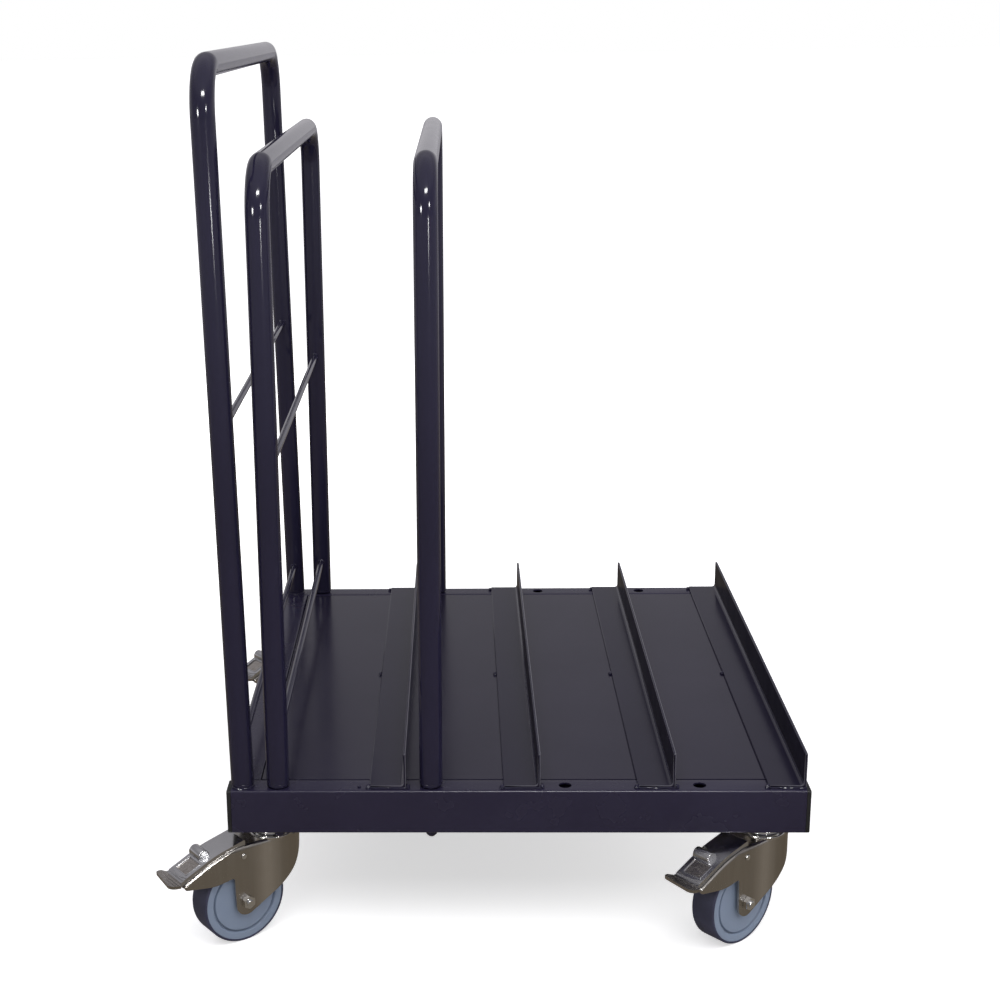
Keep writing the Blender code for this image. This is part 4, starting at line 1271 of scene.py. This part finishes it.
def build_world():
    """White backdrop to the eye; to the pieces, a dim room that is lighter low down at the back."""
    world = bpy.data.worlds.new("studio")
    SCENE.world = world
    world.use_nodes = True
    tree = world.node_tree
    tree.nodes.clear()

    def add(kind, **inputs):
        node = tree.nodes.new(kind)
        for key, value in inputs.items():
            node.inputs[key.replace("_", " ").title()].default_value = value
        return node

    def ramp(low, high, **ends):
        node = add("ShaderNodeMapRange", from_min=low, from_max=high, **ends)
        node.interpolation_type = "SMOOTHSTEP"
        return node

    output = add("ShaderNodeOutputWorld")
    path = add("ShaderNodeLightPath")
    white = add("ShaderNodeBackground", strength=1.0, color=WHITE)
    room = add("ShaderNodeBackground", color=ROOM_COLOUR)
    mix = add("ShaderNodeMixShader")
    place = add("ShaderNodeTexCoord")
    split = add("ShaderNodeSeparateXYZ")
    back = ramp(ROOM_LOW, ROOM_HIGH, to_min=ROOM_HORIZON, to_max=ROOM_BACK)
    depth = ramp(-ROOM_DEPTH, ROOM_DEPTH, to_min=ROOM_FRONT)
    ceiling = ramp(CEILING_LOW, CEILING_HIGH, to_max=ROOM_CEILING)
    for source, output_name, target, input_name in (
        (place, "Generated", split, "Vector"),
        (split, "Z", back, "Value"),
        (split, "Y", depth, "Value"),
        (back, "Result", depth, "To Max"),
        (split, "Z", ceiling, "Value"),
        (depth, "Result", ceiling, "To Min"),
        (ceiling, "Result", room, "Strength"),
        (path, "Is Camera Ray", mix, "Fac"),
        (room, "Background", mix, 1),
        (white, "Background", mix, 2),
        (mix, "Shader", output, "Surface"),
    ):
        tree.links.new(source.outputs[output_name], target.inputs[input_name])


def build_stage():
    """Pale floor, soft overhead light, and the lamps and windows that show as highlights."""
    build_world()
    mesh = primitive("floor", bmesh.ops.create_grid, x_segments=1, y_segments=1, size=FLOOR_REACH)
    floor = added("floor", mesh)
    mesh.materials.append(floor_material())

    matt = bpy.data.collections.new("kept_from_lamps")
    for piece in SCENE.objects:
        if piece.name.startswith(KEPT_FROM_LAMPS):
            matt.objects.link(piece)
    for entry in matt.collection_objects:
        entry.light_linking.link_state = "EXCLUDE"

    for name, place, aim, width, height, glow, mirrored in LIGHTS:
        data = bpy.data.lights.new(name, "AREA")
        data.shape = "RECTANGLE"
        data.size = width
        data.size_y = height
        data.energy = glow * pi * width * height
        lamp = added(name, data)
        lamp.location = place
        lamp.rotation_mode = "QUATERNION"
        lamp.rotation_quaternion = (Vector(aim) - Vector(place)).to_track_quat("-Z", "Y")
        lamp.visible_camera = False
        lamp.visible_glossy = mirrored
        lamp.visible_diffuse = not mirrored
        if mirrored:
            lamp.light_linking.receiver_collection = matt


def floor_material():
    """Pale floor that goes over into the white backdrop. In metal it shows as a dim, warm floor."""
    finish = Finish("floor", {"Roughness": FLOOR_ROUGHNESS, "Emission Color": WHITE})
    finish.paint(finish.colours(finish.grain(scale=3, detail=4), *FLOOR_COLOURS))
    centre = finish.add("ShaderNodeVectorMath", operation="LENGTH")
    finish.link(finish.coordinates, centre.inputs["Vector"])
    away = finish.spread(centre.outputs["Value"], FLOOR_NEAR, FLOOR_FAR, FLOOR_GLOW, 1)
    path = finish.add("ShaderNodeLightPath")
    seen = finish.maths("MULTIPLY", away, path.outputs["Is Camera Ray"])
    finish.link(seen, finish.shader.inputs["Emission Strength"])
    warm = finish.add("ShaderNodeEmission")
    far = finish.spread(centre.outputs["Value"], FLOOR_FAR, 3 * FLOOR_FAR, 0, 1)
    finish.link(finish.colours(far, FLOOR_MIRRORED, FLOOR_MIRRORED_FAR), warm.inputs["Color"])
    mix = finish.add("ShaderNodeMixShader")
    finish.link(path.outputs["Is Glossy Ray"], mix.inputs["Fac"])
    finish.link(finish.shader.outputs["BSDF"], mix.inputs[1])
    finish.link(warm.outputs["Emission"], mix.inputs[2])
    finish.link(mix.outputs["Shader"], finish.tree.nodes["Material Output"].inputs["Surface"])
    finish.material.cycles.emission_sampling = "NONE"
    return finish.material


def build_camera():
    """The photograph's view, with the lens a little off centre."""
    data = bpy.data.cameras.new("camera")
    data.sensor_width = CAMERA_SENSOR
    data.lens = CAMERA_LENS
    data.shift_x, data.shift_y = CAMERA_SHIFT
    yaw, pitch, roll = CAMERA_TURN
    forward = Vector((sin(yaw) * cos(pitch), cos(yaw) * cos(pitch), sin(pitch)))
    right = Vector((cos(yaw), -sin(yaw), 0))
    up = right.cross(forward)
    side = cos(roll) * right + sin(roll) * up
    top = cos(roll) * up - sin(roll) * right
    matrix = Matrix((side, top, -forward)).transposed().to_4x4()
    matrix.translation = CAMERA_PLACE
    SCENE.camera = added("camera", data)
    SCENE.camera.matrix_world = matrix


MATERIALS = build_materials()
build_camera()
build_rails()
build_caps()
build_deck()
build_dividers()
for hoop in ("push_hoop", "first_hoop", "second_hoop"):
    build_hoop(hoop)
build_casters()
build_tacks()
build_stage()
SCENE.view_settings.view_transform = "Standard"
